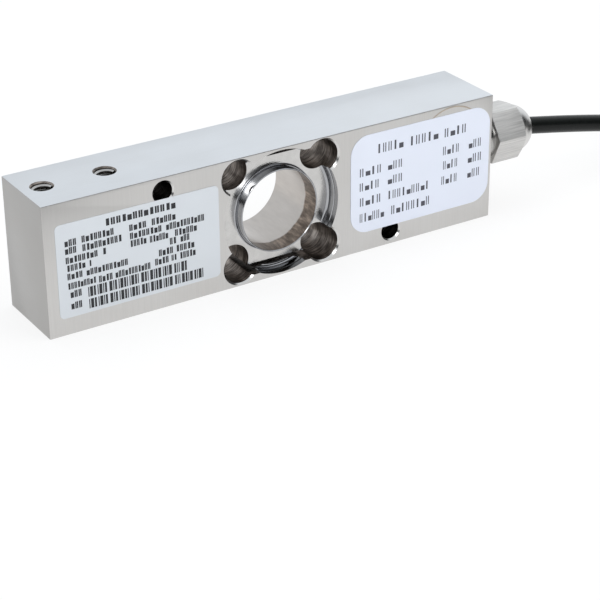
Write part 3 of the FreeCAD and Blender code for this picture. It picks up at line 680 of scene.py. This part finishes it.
def hank_points(sizes):
    """Control points of the hank's turns, in millimetres: up the outer column, down the inner."""
    middle, pitch = sizes.hank_middle / MM, sizes.pitch / MM
    low = sizes.hank_bottom / MM
    outer, inner = middle + pitch / 2, middle - pitch / 2
    turns = [(outer, low + pitch * layer) for layer in range(HANK_LAYERS)]
    turns += [(inner, low + pitch * layer) for layer in reversed(range(HANK_LAYERS))]
    points = []
    for number, (radius, height) in enumerate(turns):
        last = number + 1 == len(turns)
        next_radius, next_height = turns[number] if last else turns[number + 1]
        reach = radius * FOLD_REACH
        for share in (0.33, 0.67):
            points.append((HANK_LEFT + HANK_RUN * share, HANK_MIDDLE + radius, height))
        for angle in FOLD_ANGLES:
            around = math.radians(angle)
            points.append((HANK_LEFT + HANK_RUN + reach * math.cos(around),
                           HANK_MIDDLE + reach * math.sin(around), height))
        if last:
            break
        for share in (0.67, 0.33):
            points.append((HANK_LEFT + HANK_RUN * share, HANK_MIDDLE - radius, height))
        shift = (next_radius - radius) / 2
        for step, angle in enumerate(FOLD_ANGLES):
            around = math.radians(angle)
            swap = min(1.0, (step + 0.5) / 5)
            wide = (radius + shift) * FOLD_REACH
            points.append((HANK_LEFT - wide * math.cos(around),
                           HANK_MIDDLE + shift - wide * math.sin(around),
                           height + (next_height - height) * swap))
    return points


def round_cord(name, points, radius, material, resolution=6):
    """A smooth round cord along control points given in millimetres."""
    data = bpy.data.curves.new(name, "CURVE")
    data.dimensions = "3D"
    spline = data.splines.new("NURBS")
    spline.points.add(len(points) - 1)
    for point, spot in zip(spline.points, points):
        point.co = (spot[0] * MM, spot[1] * MM, spot[2] * MM, 1)
    spline.order_u = 3
    spline.use_endpoint_u = True
    spline.resolution_u = resolution
    data.bevel_depth = radius
    data.bevel_resolution = 5
    data.use_fill_caps = True
    data.materials.append(material)
    cord = bpy.data.objects.new(name, data)
    bpy.context.scene.collection.objects.link(cord)
    return cord


def lead_route(length, spread, seat, sizes):
    """A flying lead's control points, fanned out from the end of the jacket."""
    end, before = Vector(TAIL_ROUTE[-1]), Vector(TAIL_ROUTE[-2])
    ahead = (end - before).normalized()
    beside = Vector((-ahead.y, ahead.x, 0))
    circle, thin, straight = sizes.lead_circle / MM, sizes.lead_radius / MM, 10
    start = end.copy()
    if seat is not None:
        around = math.radians(seat)
        start += beside * (circle * math.cos(around)) + Vector((0, 0, circle * math.sin(around)))
    route = [start, start + ahead * straight]
    for share in (0.4, 0.7, 1.0):
        angle = math.radians(spread * (1 + share) / 2)
        way = ahead * math.cos(angle) + beside * math.sin(angle)
        spot = route[1] + way * ((length - straight) * share)
        spot.z = thin + (start.z - thin) * (1 - share) ** 2
        route.append(spot)
    return [tuple(spot) for spot in route]


class LOADCELL_OT_cable(bpy.types.Operator):
    """The black cable from the gland into its tied hank and out to the cut end"""

    bl_idname = "loadcell.cable"
    bl_label = "Cable"

    def execute(self, context):
        sizes, looks = cable_sizes(), finishes()
        jacket = plastic("cable_jacket", looks.jacket, 0.3, 0.0009, 0.1, Specular_IOR_Level=0.18)
        points = CABLE_ROUTE + hank_points(sizes) + TAIL_ROUTE
        cable = round_cord("cable_cord", points, sizes.radius, jacket)
        install(cable, "jacket_black", "cable", "cable_hank", "cable_tail")
        tie_finish = plastic("tie_nylon", (0.02, 0.02, 0.021), 0.3)
        sleeve_finish = plastic("shrink_sleeve", (0.016, 0.016, 0.018), 0.55)
        for node in ("hank_tie_near", "hank_tie_far"):
            dress(node, tie_finish)
        dress("end_sleeve", sleeve_finish)
        return {"FINISHED"}


class LOADCELL_OT_leads(bpy.types.Operator):
    """Seven flying leads with tinned ends"""

    bl_idname = "loadcell.leads"
    bl_label = "Flying leads"

    def execute(self, context):
        sizes = cable_sizes()
        for colour, length, spread, seat in LEADS:
            route = lead_route(length, spread, seat, sizes)
            skin = plastic("insulation_" + colour, LEAD_COLOURS[colour], 0.35, 0.0005)
            lead = round_cord("cord_" + colour, route, sizes.lead_radius, skin, 8)
            slot = "lead_" + colour.split("_")[0]
            install(lead, slot, "lead_" + colour)
        tin = (0.75, 0.75, 0.74)
        dress("lead_strands", turned_steel("tinned_copper", tin, "X", (0, 0, 0), 0.0003, 0.3))
        return {"FINISHED"}


# ---------------------------------------------------------------- block
# how far a cutter reaches past the block, and the slope of the step in the recess wall
PAST = 20 * MM
LIP_SLOPE = 0.12 * MM
# sine and cosine along a quarter turn
QUARTER = [(math.sin(math.radians(90 * step / 8)), math.cos(math.radians(90 * step / 8)))
           for step in range(9)]


class LOADCELL_OT_block(bpy.types.Operator):
    """The ground steel block with its recesses, bending holes, slots and threads"""

    bl_idname = "loadcell.block"
    bl_label = "Block"

    def execute(self, context):
        sizes, looks = block_sizes(), finishes()
        ground = ground_steel("steel_side_ground", looks.steel, "Z", 0.36, 0.7)
        # a lighter, bluer copy of the side steel for the top and bottom: painted light
        top = ground_steel("steel_top_ground_painted_light", (0.75, 0.775, 0.803), "X", 0.42, 0.5)
        # a darker copy of the side steel for the end faces: painted shade
        ends = ground_steel("steel_end_ground_painted_shade", shade(looks.steel, 0.70), "Y", 0.40, 0.8)
        steel, axis = looks.steel, (0, 0, BORE_Z)
        # the recess floor: the steel darkened a little, painted shade in the recess
        polished = turned_steel("steel_recess_turned", shade(steel, 0.93), "Y", axis, 0.0004, 0.14)
        # the recess wall and neck take the darkened bright-turned steel: painted dark reflection
        mirror = turned_steel("steel_recess_wall", looks.mirror, "Y", axis, 0.0005, 0.1)
        shiny = turned_steel("steel_chamfer", shade(steel, 1.05), "Y", axis, 0.0005, 0.2, 0.05)
        # hole and slot walls: dark drilled steel, painted shade inside them
        drilled = drilled_steel("steel_hole_wall", looks.bore)
        # the cross holes darkened much further: painted shade deep in them
        cross_painted_shade = drilled_steel("steel_cross_wall_painted_shade", shade(looks.bore, 0.3))
        block = box_piece("block", BLOCK_LOW, BLOCK_HIGH, sizes.edge, 2)
        paint(block, ground)
        self.cut_recesses(block, sizes, polished, mirror)
        self.cut_holes(block, sizes, drilled, cross_painted_shade, shiny)
        self.cut_threads(block, sizes, drilled)
        self.cut_pocket(block, drilled)
        self.finish_faces(block, top, ends)
        settle(block)
        install(block, "block_steel", "spring_body")
        return {"FINISHED"}

    def cut_recesses(self, block, sizes, polished, mirror):
        tube = LINER_HIGH.x
        neck = tube + sizes.neck_land
        floor = BACK - sizes.recess_depth
        lip, foot, fillet = BACK - sizes.wall_lip, sizes.foot_radius, sizes.neck_fillet
        wall = sizes.recess_radius - sizes.wall_step
        side = [(PAST, sizes.recess_radius), (lip, sizes.recess_radius), (lip - LIP_SLOPE, wall)]
        side += [(floor + foot * (1 - up), wall - foot * (1 - out)) for up, out in QUARTER]
        side += [(floor + fillet * (1 - out), neck + fillet * (1 - up)) for up, out in QUARTER]
        side.append((floor + fillet, tube))
        rings = [(-along, radius) for along, radius in side]
        rings += [(along, radius) for along, radius in reversed(side)]
        cutter = turned_piece("recess_cutter", rings, (0, 0, BORE_Z), "Y", 160)
        paint_where(paint(cutter, polished), mirror, lambda face: not neck + fillet
                    < math.hypot(face.center.x, face.center.z - BORE_Z) < wall - foot)
        cut(block, cutter)

    def through_hole(self, x, z, radius, chamfer, wall, rim):
        """A drill along Y with a chamfer at each mouth, in two finishes."""
        flare = 1 * MM
        rings = [
            (FRONT - flare, radius + chamfer + flare), (FRONT + chamfer, radius),
            (BACK - chamfer, radius), (BACK + flare, radius + chamfer + flare),
        ]
        drill = paint(turned_piece("drill", rings, (x, 0, z), "Y", 72), wall)
        return paint_where(drill, rim, lambda face: abs(face.center.y) > BACK - chamfer)

    def cut_holes(self, block, sizes, drilled, cross_painted_shade, shiny):
        across = sizes.hole_spacing / 2
        rise = TOP / 2 - sizes.hole_web - sizes.hole_radius
        outer = TOP / 2 - sizes.beam
        for up in (1, -1):
            low, high = sorted((up * (outer - sizes.slot), up * outer))
            slot = box_piece("slot", (-across, FRONT - PAST, BORE_Z + low),
                             (across, BACK + PAST, BORE_Z + high))
            cut(block, paint(slot, drilled))
            for side in (1, -1):
                cut(block, self.through_hole(
                    side * across, BORE_Z + up * rise, sizes.hole_radius, sizes.hole_chamfer,
                    drilled, shiny,
                ))
        for side in (1, -1):
            cut(block, self.through_hole(
                side * sizes.cross_spacing / 2, BORE_Z - side * (TOP / 2 - sizes.cross_inset),
                sizes.cross_radius, sizes.cross_chamfer, cross_painted_shade, shiny,
            ))

    def cut_threads(self, block, sizes, drilled):
        for side, face, aim in ((-1, TOP, "Z"), (1, 0.0, "-Z")):
            for gap in (sizes.thread_end, sizes.thread_end + sizes.thread_gap):
                x = side * (RIGHT_END - gap)
                mouth = sizes.thread_mouth - sizes.thread_radius
                point, tip, flare = 1.5 * MM, 0.3 * MM, 1 * MM
                rings = [
                    (-sizes.thread_depth - point, tip), (-sizes.thread_depth, sizes.thread_radius),
                    (-mouth, sizes.thread_radius), (flare, sizes.thread_mouth + flare),
                ]
                cut(block, paint(turned_piece("tap", rings, (x, 0, face), aim, 64), drilled))

    def cut_pocket(self, block, drilled):
        """The pocket's mouth behind the cover, and the hole that the gland screws into."""
        low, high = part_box("pocket_cover")
        radius, flare, behind = (high.x - low.x) / 2, 2 * MM, 4 * MM
        centre = ((low.x + high.x) / 2, FRONT, (low.z + high.z) / 2)
        rings = [(-flare, radius), (high.y - FRONT + behind, radius)]
        cut(block, paint(turned_piece("cover_seat", rings, centre, "Y", 96), drilled))
        gland = gland_sizes()
        rings = [(-gland.seat_depth, gland.seat_radius), (flare, gland.seat_radius)]
        centre = (RIGHT_END, 0, GLAND_HEIGHT)
        cut(block, paint(turned_piece("gland_seat", rings, centre, "X", 64), drilled))

    def finish_faces(self, block, top, ends):
        """Gives the top, bottom and end faces their own grinding direction and colour: a lighter,
        bluer steel on the top and bottom as painted light, a darker one on the ends as painted
        shade.
        """
        for finish, axis in ((top, 2), (ends, 0)):
            paint_where(block, finish, lambda face: face.material_index == 0
                        and abs(face.normal[axis]) > 0.8)


class LOADCELL_OT_threads(bpy.types.Operator):
    """Helical thread ridges inside the four mounting holes"""

    bl_idname = "loadcell.threads"
    bl_label = "Mounting threads"

    def execute(self, context):
        sizes, looks = block_sizes(), finishes()
        dull = shade(looks.steel, 0.75)
        finish = turned_steel("steel_thread", dull, "Z", (0, 0, 0), 0.0005, 0.22)
        pieces = []
        for side, face, outward in ((-1, TOP, 1), (1, 0.0, -1)):
            for gap in (sizes.thread_end, sizes.thread_end + sizes.thread_gap):
                x = side * (RIGHT_END - gap)
                pieces.append(self.ridge(sizes, x, face, outward))
        ridge = join(*pieces)
        ridge.name = "thread_ridges"
        paint(ridge, finish)
        settle(ridge, 30)
        install(ridge, "block_steel")
        return {"FINISHED"}

    def ridge(self, sizes, x, face, outward):
        """One thread: a flat profile wound into a helix just inside the hole's wall."""
        sunk, root, tip = 0.05 * MM, 0.46 * MM, 0.08 * MM
        start, runout = 1 * MM, 1.6 * MM
        wall = sizes.thread_radius + sunk
        crest = sizes.thread_radius - sizes.thread_height
        turns = int(round((sizes.thread_depth - runout) / sizes.thread_pitch))
        leave_all()
        bpy.ops.mesh.primitive_plane_add(size=1, location=(0, 0, 0))
        profile = bpy.context.object
        corners = [(wall, -root), (crest, -tip), (wall, root), (crest, tip)]
        for vertex, (reach, rise) in zip(profile.data.vertices, corners):
            vertex.co = (reach, 0, rise)
        screw = profile.modifiers.new("screw", "SCREW")
        screw.steps = screw.render_steps = 40
        screw.screw_offset = -sizes.thread_pitch
        screw.iterations = turns
        screw.use_merge_vertices = False
        only(profile)
        bpy.ops.object.modifier_apply(modifier=screw.name)
        bpy.ops.object.mode_set(mode="EDIT")
        bpy.ops.mesh.select_all(action="SELECT")
        bpy.ops.mesh.normals_make_consistent(inside=False)
        bpy.ops.object.mode_set(mode="OBJECT")
        profile.location = (x, 0, face - outward * start)
        if outward < 0:
            profile.rotation_euler = AIMS["-Z"]
        only(profile)
        bpy.ops.object.transform_apply(location=True, rotation=True)
        return profile


class LOADCELL_OT_liner(bpy.types.Operator):
    """The thin tube through the bore, with a rounded lip at each end"""

    bl_idname = "loadcell.liner"
    bl_label = "Bore liner"

    def execute(self, context):
        looks, sizes, axis = finishes(), block_sizes(), (0, 0, BORE_Z)
        outer, half, lip = LINER_HIGH.x, LINER_HIGH.y, sizes.tube_lip
        inner = outer - sizes.tube_wall
        rings = [(-half, inner + lip), (-half, outer - lip), (-half + lip, outer),
                 (half - lip, outer), (half, outer - lip), (half, inner + lip)]
        steps = 12
        rings += [(half - lip - (2 * half - 2 * lip) * step / steps, inner)
                  for step in range(steps)]
        rings += [(-half + lip, inner), (-half, inner + lip)]
        tube = turned_piece("liner_tube", rings, axis, "Y", 160, hollow=True)
        # the tube's outside takes the darkened bright-turned steel: painted dark reflection
        paint(tube, turned_steel("steel_tube_outside", looks.mirror, "Y", axis, 0.0005, 0.1))
        inside = tube_steel("steel_tube_inside", (0.54, 0.508, 0.48), looks.tint)
        paint_where(tube, inside, lambda face: math.hypot(face.center.x, face.center.z - BORE_Z)
                    < (inner + outer) / 2 and abs(face.normal.y) < 0.5)
        settle(tube, 40)
        install(tube, "liner_steel", "bore_liner")
        return {"FINISHED"}


class LOADCELL_OT_cover(bpy.types.Operator):
    """The welded pocket cover and its thin weld seam"""

    bl_idname = "loadcell.cover"
    bl_label = "Pocket cover"

    def execute(self, context):
        looks = finishes()
        low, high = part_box("pocket_cover")
        radius = (high.x - low.x) / 2
        centre = ((low.x + high.x) / 2, FRONT, (low.z + high.z) / 2)
        thick, edge = high.y - FRONT, 0.2 * MM
        disc = turned_piece("cover_disc", [
            (thick, radius - 2 * edge), (thick - 1.5 * edge, radius), (edge, radius),
            (0.0, radius - edge),
        ], centre, "Y", 96)
        paint(disc, ground_steel("steel_cover_ground", looks.steel, "Z", 0.36, 0.7))
        settle(disc)
        install(disc, "cover_steel", "pocket_cover")
        profile = [(0.08, -0.4), (-0.02, -0.2), (-0.02, 0.15), (0.08, 0.3), (0.3, 0.1), (0.3, -0.2),
                   (0.08, -0.4)]
        rings = [(along * MM, radius + out * MM) for along, out in profile]
        seam = turned_piece("cover_weld", rings, centre, "Y", 96, hollow=True)
        straw = (0.50, 0.43, 0.36)
        paint(seam, turned_steel("weld_straw", straw, "Y", centre, 0.0003, 0.35))
        settle(seam, 40)
        install(seam, "cover_steel")
        return {"FINISHED"}


class LOADCELL_OT_gland(bpy.types.Operator):
    """Collar, gasket and hexagon nut of the cable gland"""

    bl_idname = "loadcell.gland"
    bl_label = "Cable gland"

    def execute(self, context):
        sizes, steel = gland_sizes(), finishes().steel
        axis = (0, 0, GLAND_HEIGHT)
        # the collar: the steel darkened to 0.7, painted shade at the nut's left end
        collar_painted_shade = turned_steel("steel_collar_painted_shade", shade(steel, 0.7), "X", axis, 0.0004, 0.2)
        dress("gland_body", collar_painted_shade)
        rubber = plastic("gland_rubber", (0.02, 0.02, 0.02), 0.6)
        dress("gland_gasket", rubber)
        dress("gland_seal", rubber)
        dome = turned_steel("steel_nut_dome", shade(steel, 1.05), "X", axis, 0.0004, 0.3)
        flats = ground_steel("steel_nut_flats", shade(steel, 1.02), "X", 0.42, 4.5, 0.75)
        nut = self.hexagon(sizes)
        keep_common(nut, self.turned_form(sizes))
        cut(nut, self.inside_form(sizes))
        paint(nut, dome)
        paint_where(nut, flats, lambda face: abs(face.normal.x) < 0.02 and 1.1 * sizes.thread
                    < math.hypot(face.center.y, face.center.z - GLAND_HEIGHT))
        settle(nut)
        install(nut, "gland_steel", "gland_nut")
        return {"FINISHED"}

    def hexagon(self, sizes):
        """A hexagon bar along X with its long edges rounded."""
        length = NUT_HIGH.x - NUT_LOW.x
        leave_all()
        bpy.ops.mesh.primitive_cylinder_add(
            vertices=6, radius=sizes.flats / math.sqrt(3), depth=length, rotation=AIMS["X"],
        )
        bar = bpy.context.object
        bar.name = "gland_nut_form"
        bpy.ops.object.transform_apply(rotation=True)
        bar.rotation_euler = (-sizes.tilt, 0, 0)
        bar.location = (NUT_LOW.x + length / 2, 0, GLAND_HEIGHT)
        bpy.ops.object.transform_apply(location=True, rotation=True)
        for edge in bar.data.edges:
            first, second = (bar.data.vertices[number].co for number in edge.vertices)
            edge.select = abs(first.x - second.x) > length / 2
        bpy.ops.object.mode_set(mode="EDIT")
        bpy.ops.mesh.select_mode(type="EDGE")
        bpy.ops.mesh.bevel(offset=sizes.edge, segments=3, affect="EDGES")
        bpy.ops.mesh.select_mode(type="VERT")
        bpy.ops.object.mode_set(mode="OBJECT")
        return bar

    def turned_form(self, sizes):
        """What a lathe leaves of the bar: chamfered flats and a round dome."""
        length, corner, flare = NUT_HIGH.x - NUT_LOW.x, sizes.flats / math.sqrt(3), 1 * MM
        start, steps = sizes.hexagon + sizes.chamfer, 12
        middle = length ** 2 + sizes.nose ** 2 - start ** 2 - sizes.shoulder ** 2
        middle /= 2 * (length - start)
        reach = math.hypot(start - middle, sizes.shoulder)
        rings = [
            (-flare, corner + flare),
            (sizes.hexagon - 2 * sizes.chamfer, corner + sizes.chamfer / 2),
            (sizes.hexagon, sizes.flats / 2),
        ]
        first = math.atan2(sizes.shoulder, start - middle)
        last = math.atan2(sizes.nose, length - middle)
        for step in range(steps + 1):
            around = first + (last - first) * step / steps
            rings.append((middle + reach * math.cos(around), reach * math.sin(around)))
        rings.append((length, sizes.mouth * 0.5))
        return turned_piece("lathe_form", rings, (NUT_LOW.x, 0, GLAND_HEIGHT), "X", 96)

    def inside_form(self, sizes):
        """The thread's space, the seal's cone and the mouth for the cable."""
        turn, ledge, play, flare = 0.01 * MM, 1 * MM, 0.6 * MM, 20 * MM
        rings = [
            (-ledge, sizes.thread), (sizes.seal_start, sizes.thread),
            (sizes.seal_start + turn, sizes.thread - ledge),
            (sizes.seal_end, sizes.mouth + play), (sizes.seal_end + turn, sizes.mouth),
            (flare, sizes.mouth),
        ]
        return turned_piece("bore_form", rings, (NUT_LOW.x, 0, GLAND_HEIGHT), "X", 64)


# ---------------------------------------------------------------- labels
LABEL_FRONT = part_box("type_label")[0].y
INK = 0.02 * MM
# every word in millimetres: left, low, width, height and how many marks
TYPE_PRINT = [
    (-56.5, 29.9, 22.1, 2.1, 13),
    (-49.3, 26.5, 5.5, 1.9, 4), (-42.3, 26.5, 7.7, 2.0, 6),
    (-68.9, 26.7, 3.7, 2.0, 3), (-63.8, 26.8, 10.0, 2.0, 8),
    (-49.2, 24.0, 10.1, 1.9, 8), (-37.9, 23.9, 12.3, 2.0, 11),
    (-68.9, 24.4, 3.6, 2.0, 3), (-63.7, 24.2, 12.2, 2.0, 10),
    (-49.2, 21.6, 5.2, 2.0, 5), (-43.1, 21.4, 5.9, 2.0, 6), (-35.2, 21.4, 7.2, 2.0, 6),
    (-68.9, 21.6, 9.9, 1.9, 8), (-57.7, 21.6, 1.3, 1.9, 1),
    (-36.9, 19.2, 2.2, 2.0, 2), (-33.5, 19.2, 3.0, 2.0, 3),
    (-68.7, 19.2, 5.8, 1.9, 5), (-61.9, 19.2, 0.8, 1.8, 1),
    (-68.7, 16.7, 4.8, 1.9, 4), (-62.9, 16.6, 12.9, 1.9, 11),
    (-40.5, 16.5, 4.7, 2.0, 4), (-35.0, 16.5, 6.0, 2.0, 5),
    (-68.7, 13.8, 8.7, 1.9, 9), (-59.3, 13.5, 4.4, 2.0, 4), (-54.2, 13.5, 11.1, 2.0, 11),
    (-41.8, 14.0, 4.5, 2.0, 4), (-36.6, 14.1, 1.8, 1.8, 2), (-33.9, 14.0, 5.2, 2.0, 5),
    (-68.1, 11.1, 3.6, 2.1, 3), (-68.1, 7.6, 3.5, 2.1, 3),
]
WIRING_PRINT = [
    (32.8, 30.6, 9.6, 2.9, 5), (44.4, 30.4, 10.7, 2.9, 5), (57.0, 30.2, 8.6, 2.8, 4),
    (26.6, 24.4, 8.2, 2.6, 4), (36.6, 24.4, 5.7, 2.6, 3), (56.6, 24.5, 6.4, 2.7, 4),
    (66.2, 24.5, 5.1, 2.7, 3),
    (26.6, 19.8, 7.4, 2.6, 4), (36.6, 19.8, 5.8, 2.6, 3), (56.8, 19.8, 5.7, 2.7, 4),
    (66.0, 19.8, 5.6, 2.7, 3),
    (26.7, 14.9, 8.0, 2.7, 4), (36.7, 14.9, 15.4, 2.7, 9), (56.3, 14.9, 6.2, 2.7, 4),
    (66.0, 14.9, 5.0, 2.7, 3),
    (26.7, 9.7, 9.0, 2.8, 6), (38.0, 9.7, 14.5, 2.8, 8),
]
# rows of bars: left, low, width and height, with the bars' and gaps' widths in turn
BAR_ROWS = [(-62.7, 10.05, 30.8, 3.0), (-62.6, 6.45, 36.5, 2.9)]
BAR_UNIT, GAP_UNIT = 0.3, 0.26
BAR_WIDTHS = (1, 3, 2, 1, 3, 1, 2, 3, 1, 2, 1, 3, 2, 1, 1, 3, 2)
BAR_GAPS = (1, 1, 2, 1, 1, 1, 3, 1, 1, 2, 1)


class LOADCELL_OT_labels(bpy.types.Operator):
    """Two label films with plain blocks where print would be"""

    bl_idname = "loadcell.labels"
    bl_label = "Labels"

    def execute(self, context):
        looks = finishes()
        ink = plastic("label_ink", looks.ink, 0.5, 0.0003, 0.02)
        soft_ink = plastic("label_ink_grey", shade(looks.ink, 4.5), 0.5, 0.0003, 0.02)
        for name, node, corner, film in (
            ("type_film_sheet", "type_label", looks.type_corner, looks.film),
            ("wiring_film_sheet", "wiring_label", looks.wiring_corner, looks.wiring),
        ):
            sheet = self.film_sheet(name, node, corner)
            paint(sheet, label_film(name + "_finish", film))
            settle(sheet)
            install(sheet, node.split("_")[0] + "_film", node)
        bars = []
        for left, low, width, height in BAR_ROWS:
            spot, number = left, 0
            while spot < left + width - BAR_UNIT:
                thick = BAR_UNIT * BAR_WIDTHS[number % len(BAR_WIDTHS)]
                bars.append((spot, low, thick, height))
                spot += thick + GAP_UNIT * BAR_GAPS[number % len(BAR_GAPS)]
                number += 1
        bold, thin = self.word_marks(TYPE_PRINT, 0.33), self.word_marks(WIRING_PRINT, 0.17)
        self.print_piece("type_print", bold + bars, ink, "type_film")
        self.print_piece("wiring_print", thin, soft_ink, "wiring_film")
        return {"FINISHED"}

    def film_sheet(self, name, node, corner):
        low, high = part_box(node)
        leave_all()
        bpy.ops.mesh.primitive_plane_add(size=1, location=(0, 0, 0))
        sheet = bpy.context.object
        sheet.name = name
        sheet.scale = (high.x - low.x, high.z - low.z, 1)
        bpy.ops.object.transform_apply(scale=True)
        bpy.ops.object.mode_set(mode="EDIT")
        bpy.ops.mesh.select_all(action="SELECT")
        bpy.ops.mesh.bevel(offset=corner, segments=10, affect="VERTICES")
        bpy.ops.mesh.extrude_region_move(TRANSFORM_OT_translate={"value": (0, 0, high.y - low.y)})
        bpy.ops.mesh.select_all(action="SELECT")
        bpy.ops.mesh.normals_make_consistent(inside=False)
        bpy.ops.object.mode_set(mode="OBJECT")
        sheet.rotation_euler = AIMS["-Y"]
        sheet.location = ((low.x + high.x) / 2, high.y, (low.z + high.z) / 2)
        return sheet

    def word_marks(self, rows, weight):
        """Each word as a row of plain marks: two uprights, one upright or a solid block."""
        marks = []
        for left, low, width, height, count in rows:
            step = width / count
            for number in range(count):
                spot = left + step * number
                kind = (number * 5 + count * 3 + number // 2) % 4
                if kind in (0, 2):
                    marks += [(spot + step * shift, low, step * weight, height)
                              for shift in (0.06, 0.48)]
                elif kind == 1:
                    tall = height * (0.3 + 1.5 * weight)
                    marks.append((spot + step * 0.06, low, step * 0.8, tall))
                else:
                    marks.append((spot + step * 0.2, low, step * 1.8 * weight, height))
        return marks

    def print_piece(self, name, blocks, material, slot):
        """Thin blocks just proud of the film, all in one mesh."""
        leave_all()
        first = True
        for left, low, width, height in blocks:
            centre = ((left + width / 2) * MM, LABEL_FRONT - INK / 2, (low + height / 2) * MM)
            if first:
                bpy.ops.mesh.primitive_cube_add(size=1, location=(0, 0, 0))
                piece = bpy.context.object
                piece.name = name
                bpy.ops.object.mode_set(mode="EDIT")
                first = False
            else:
                bpy.ops.mesh.select_all(action="DESELECT")
                bpy.ops.mesh.primitive_cube_add(size=1, location=(0, 0, 0))
            bpy.ops.transform.resize(value=(width * MM, INK, height * MM))
            bpy.ops.transform.translate(value=centre)
        bpy.ops.object.mode_set(mode="OBJECT")
        paint(piece, material)
        settle(piece, 0)
        install(piece, slot)


# ---------------------------------------------------------------- inside
class LOADCELL_OT_inside(bpy.types.Operator):
    """Finishes for the gauges, board, header and cores inside the block"""

    bl_idname = "loadcell.inside"
    bl_label = "Inner pieces"

    def execute(self, context):
        looks = finishes()
        foil = plastic("gauge_foil", (0.72, 0.45, 0.20), 0.35)
        tin = turned_steel("tinned_posts", (0.75, 0.75, 0.74), "Y", (0, 0, 0), 0.0003, 0.3)
        dull, axis = shade(looks.steel, 0.9), (0, 0, GLAND_HEIGHT)
        for node, material in (
            ("strain_gauge_upper_right", foil), ("strain_gauge_lower_right", foil),
            ("strain_gauge_lower_left", foil), ("strain_gauge_upper_left", foil),
            ("gauge_wires", plastic("wire_enamel", (0.45, 0.12, 0.06), 0.3)),
            ("terminal_board", plastic("board_green", (0.05, 0.25, 0.12), 0.4)),
            ("trim_resistors", plastic("resistor_black", (0.05, 0.05, 0.06), 0.4)),
            ("solder_posts", tin), ("header_pins", tin),
            ("header_eyelet", turned_steel("steel_eyelet", dull, "X", axis, 0.0003, 0.3)),
            ("header_glass", plastic("fused_glass", (0.10, 0.16, 0.22), 0.1)),
            ("cable_cores", plastic("core_grey", (0.45, 0.45, 0.45), 0.4)),
        ):
            dress(node, material)
        return {"FINISHED"}


# ---------------------------------------------------------------- panel and registration
STEPS = [
    LOADCELL_OT_stage, LOADCELL_OT_cable, LOADCELL_OT_leads, LOADCELL_OT_block,
    LOADCELL_OT_threads, LOADCELL_OT_liner, LOADCELL_OT_cover, LOADCELL_OT_gland,
    LOADCELL_OT_labels, LOADCELL_OT_inside,
]
GROUPS = {
    "cell_block": BlockSizes, "cell_gland": GlandSizes, "cell_cable": CableSizes,
    "cell_finishes": Finishes,
}


class LOADCELL_PT_panel(bpy.types.Panel):
    """Lists the pieces of the load cell and its sizes"""

    bl_idname = "LOADCELL_PT_panel"
    bl_label = "Load cell"
    bl_space_type = "VIEW_3D"
    bl_region_type = "UI"
    bl_category = "Load cell"

    def draw(self, context):
        layout = self.layout
        for step in STEPS:
            layout.operator(step.bl_idname)
        for group in GROUPS:
            settings = getattr(context.scene, group)
            box = layout.box()
            for name in settings.bl_rna.properties.keys():
                if name not in ("rna_type", "name"):
                    box.prop(settings, name)


def register():
    for group, kind in GROUPS.items():
        bpy.utils.register_class(kind)
        setattr(bpy.types.Scene, group, bpy.props.PointerProperty(type=kind))
    for step in STEPS:
        bpy.utils.register_class(step)
    bpy.utils.register_class(LOADCELL_PT_panel)


def unregister():
    bpy.utils.unregister_class(LOADCELL_PT_panel)
    for step in reversed(STEPS):
        bpy.utils.unregister_class(step)
    for group, kind in GROUPS.items():
        delattr(bpy.types.Scene, group)
        bpy.utils.unregister_class(kind)


def main():
    register()
    bpy.ops.loadcell.stage()
    bpy.ops.loadcell.cable()
    bpy.ops.loadcell.leads()
    bpy.ops.loadcell.block()
    bpy.ops.loadcell.threads()
    bpy.ops.loadcell.liner()
    bpy.ops.loadcell.cover()
    bpy.ops.loadcell.gland()
    bpy.ops.loadcell.labels()
    bpy.ops.loadcell.inside()
    leave_all()


if __name__ == "__main__":
    main()
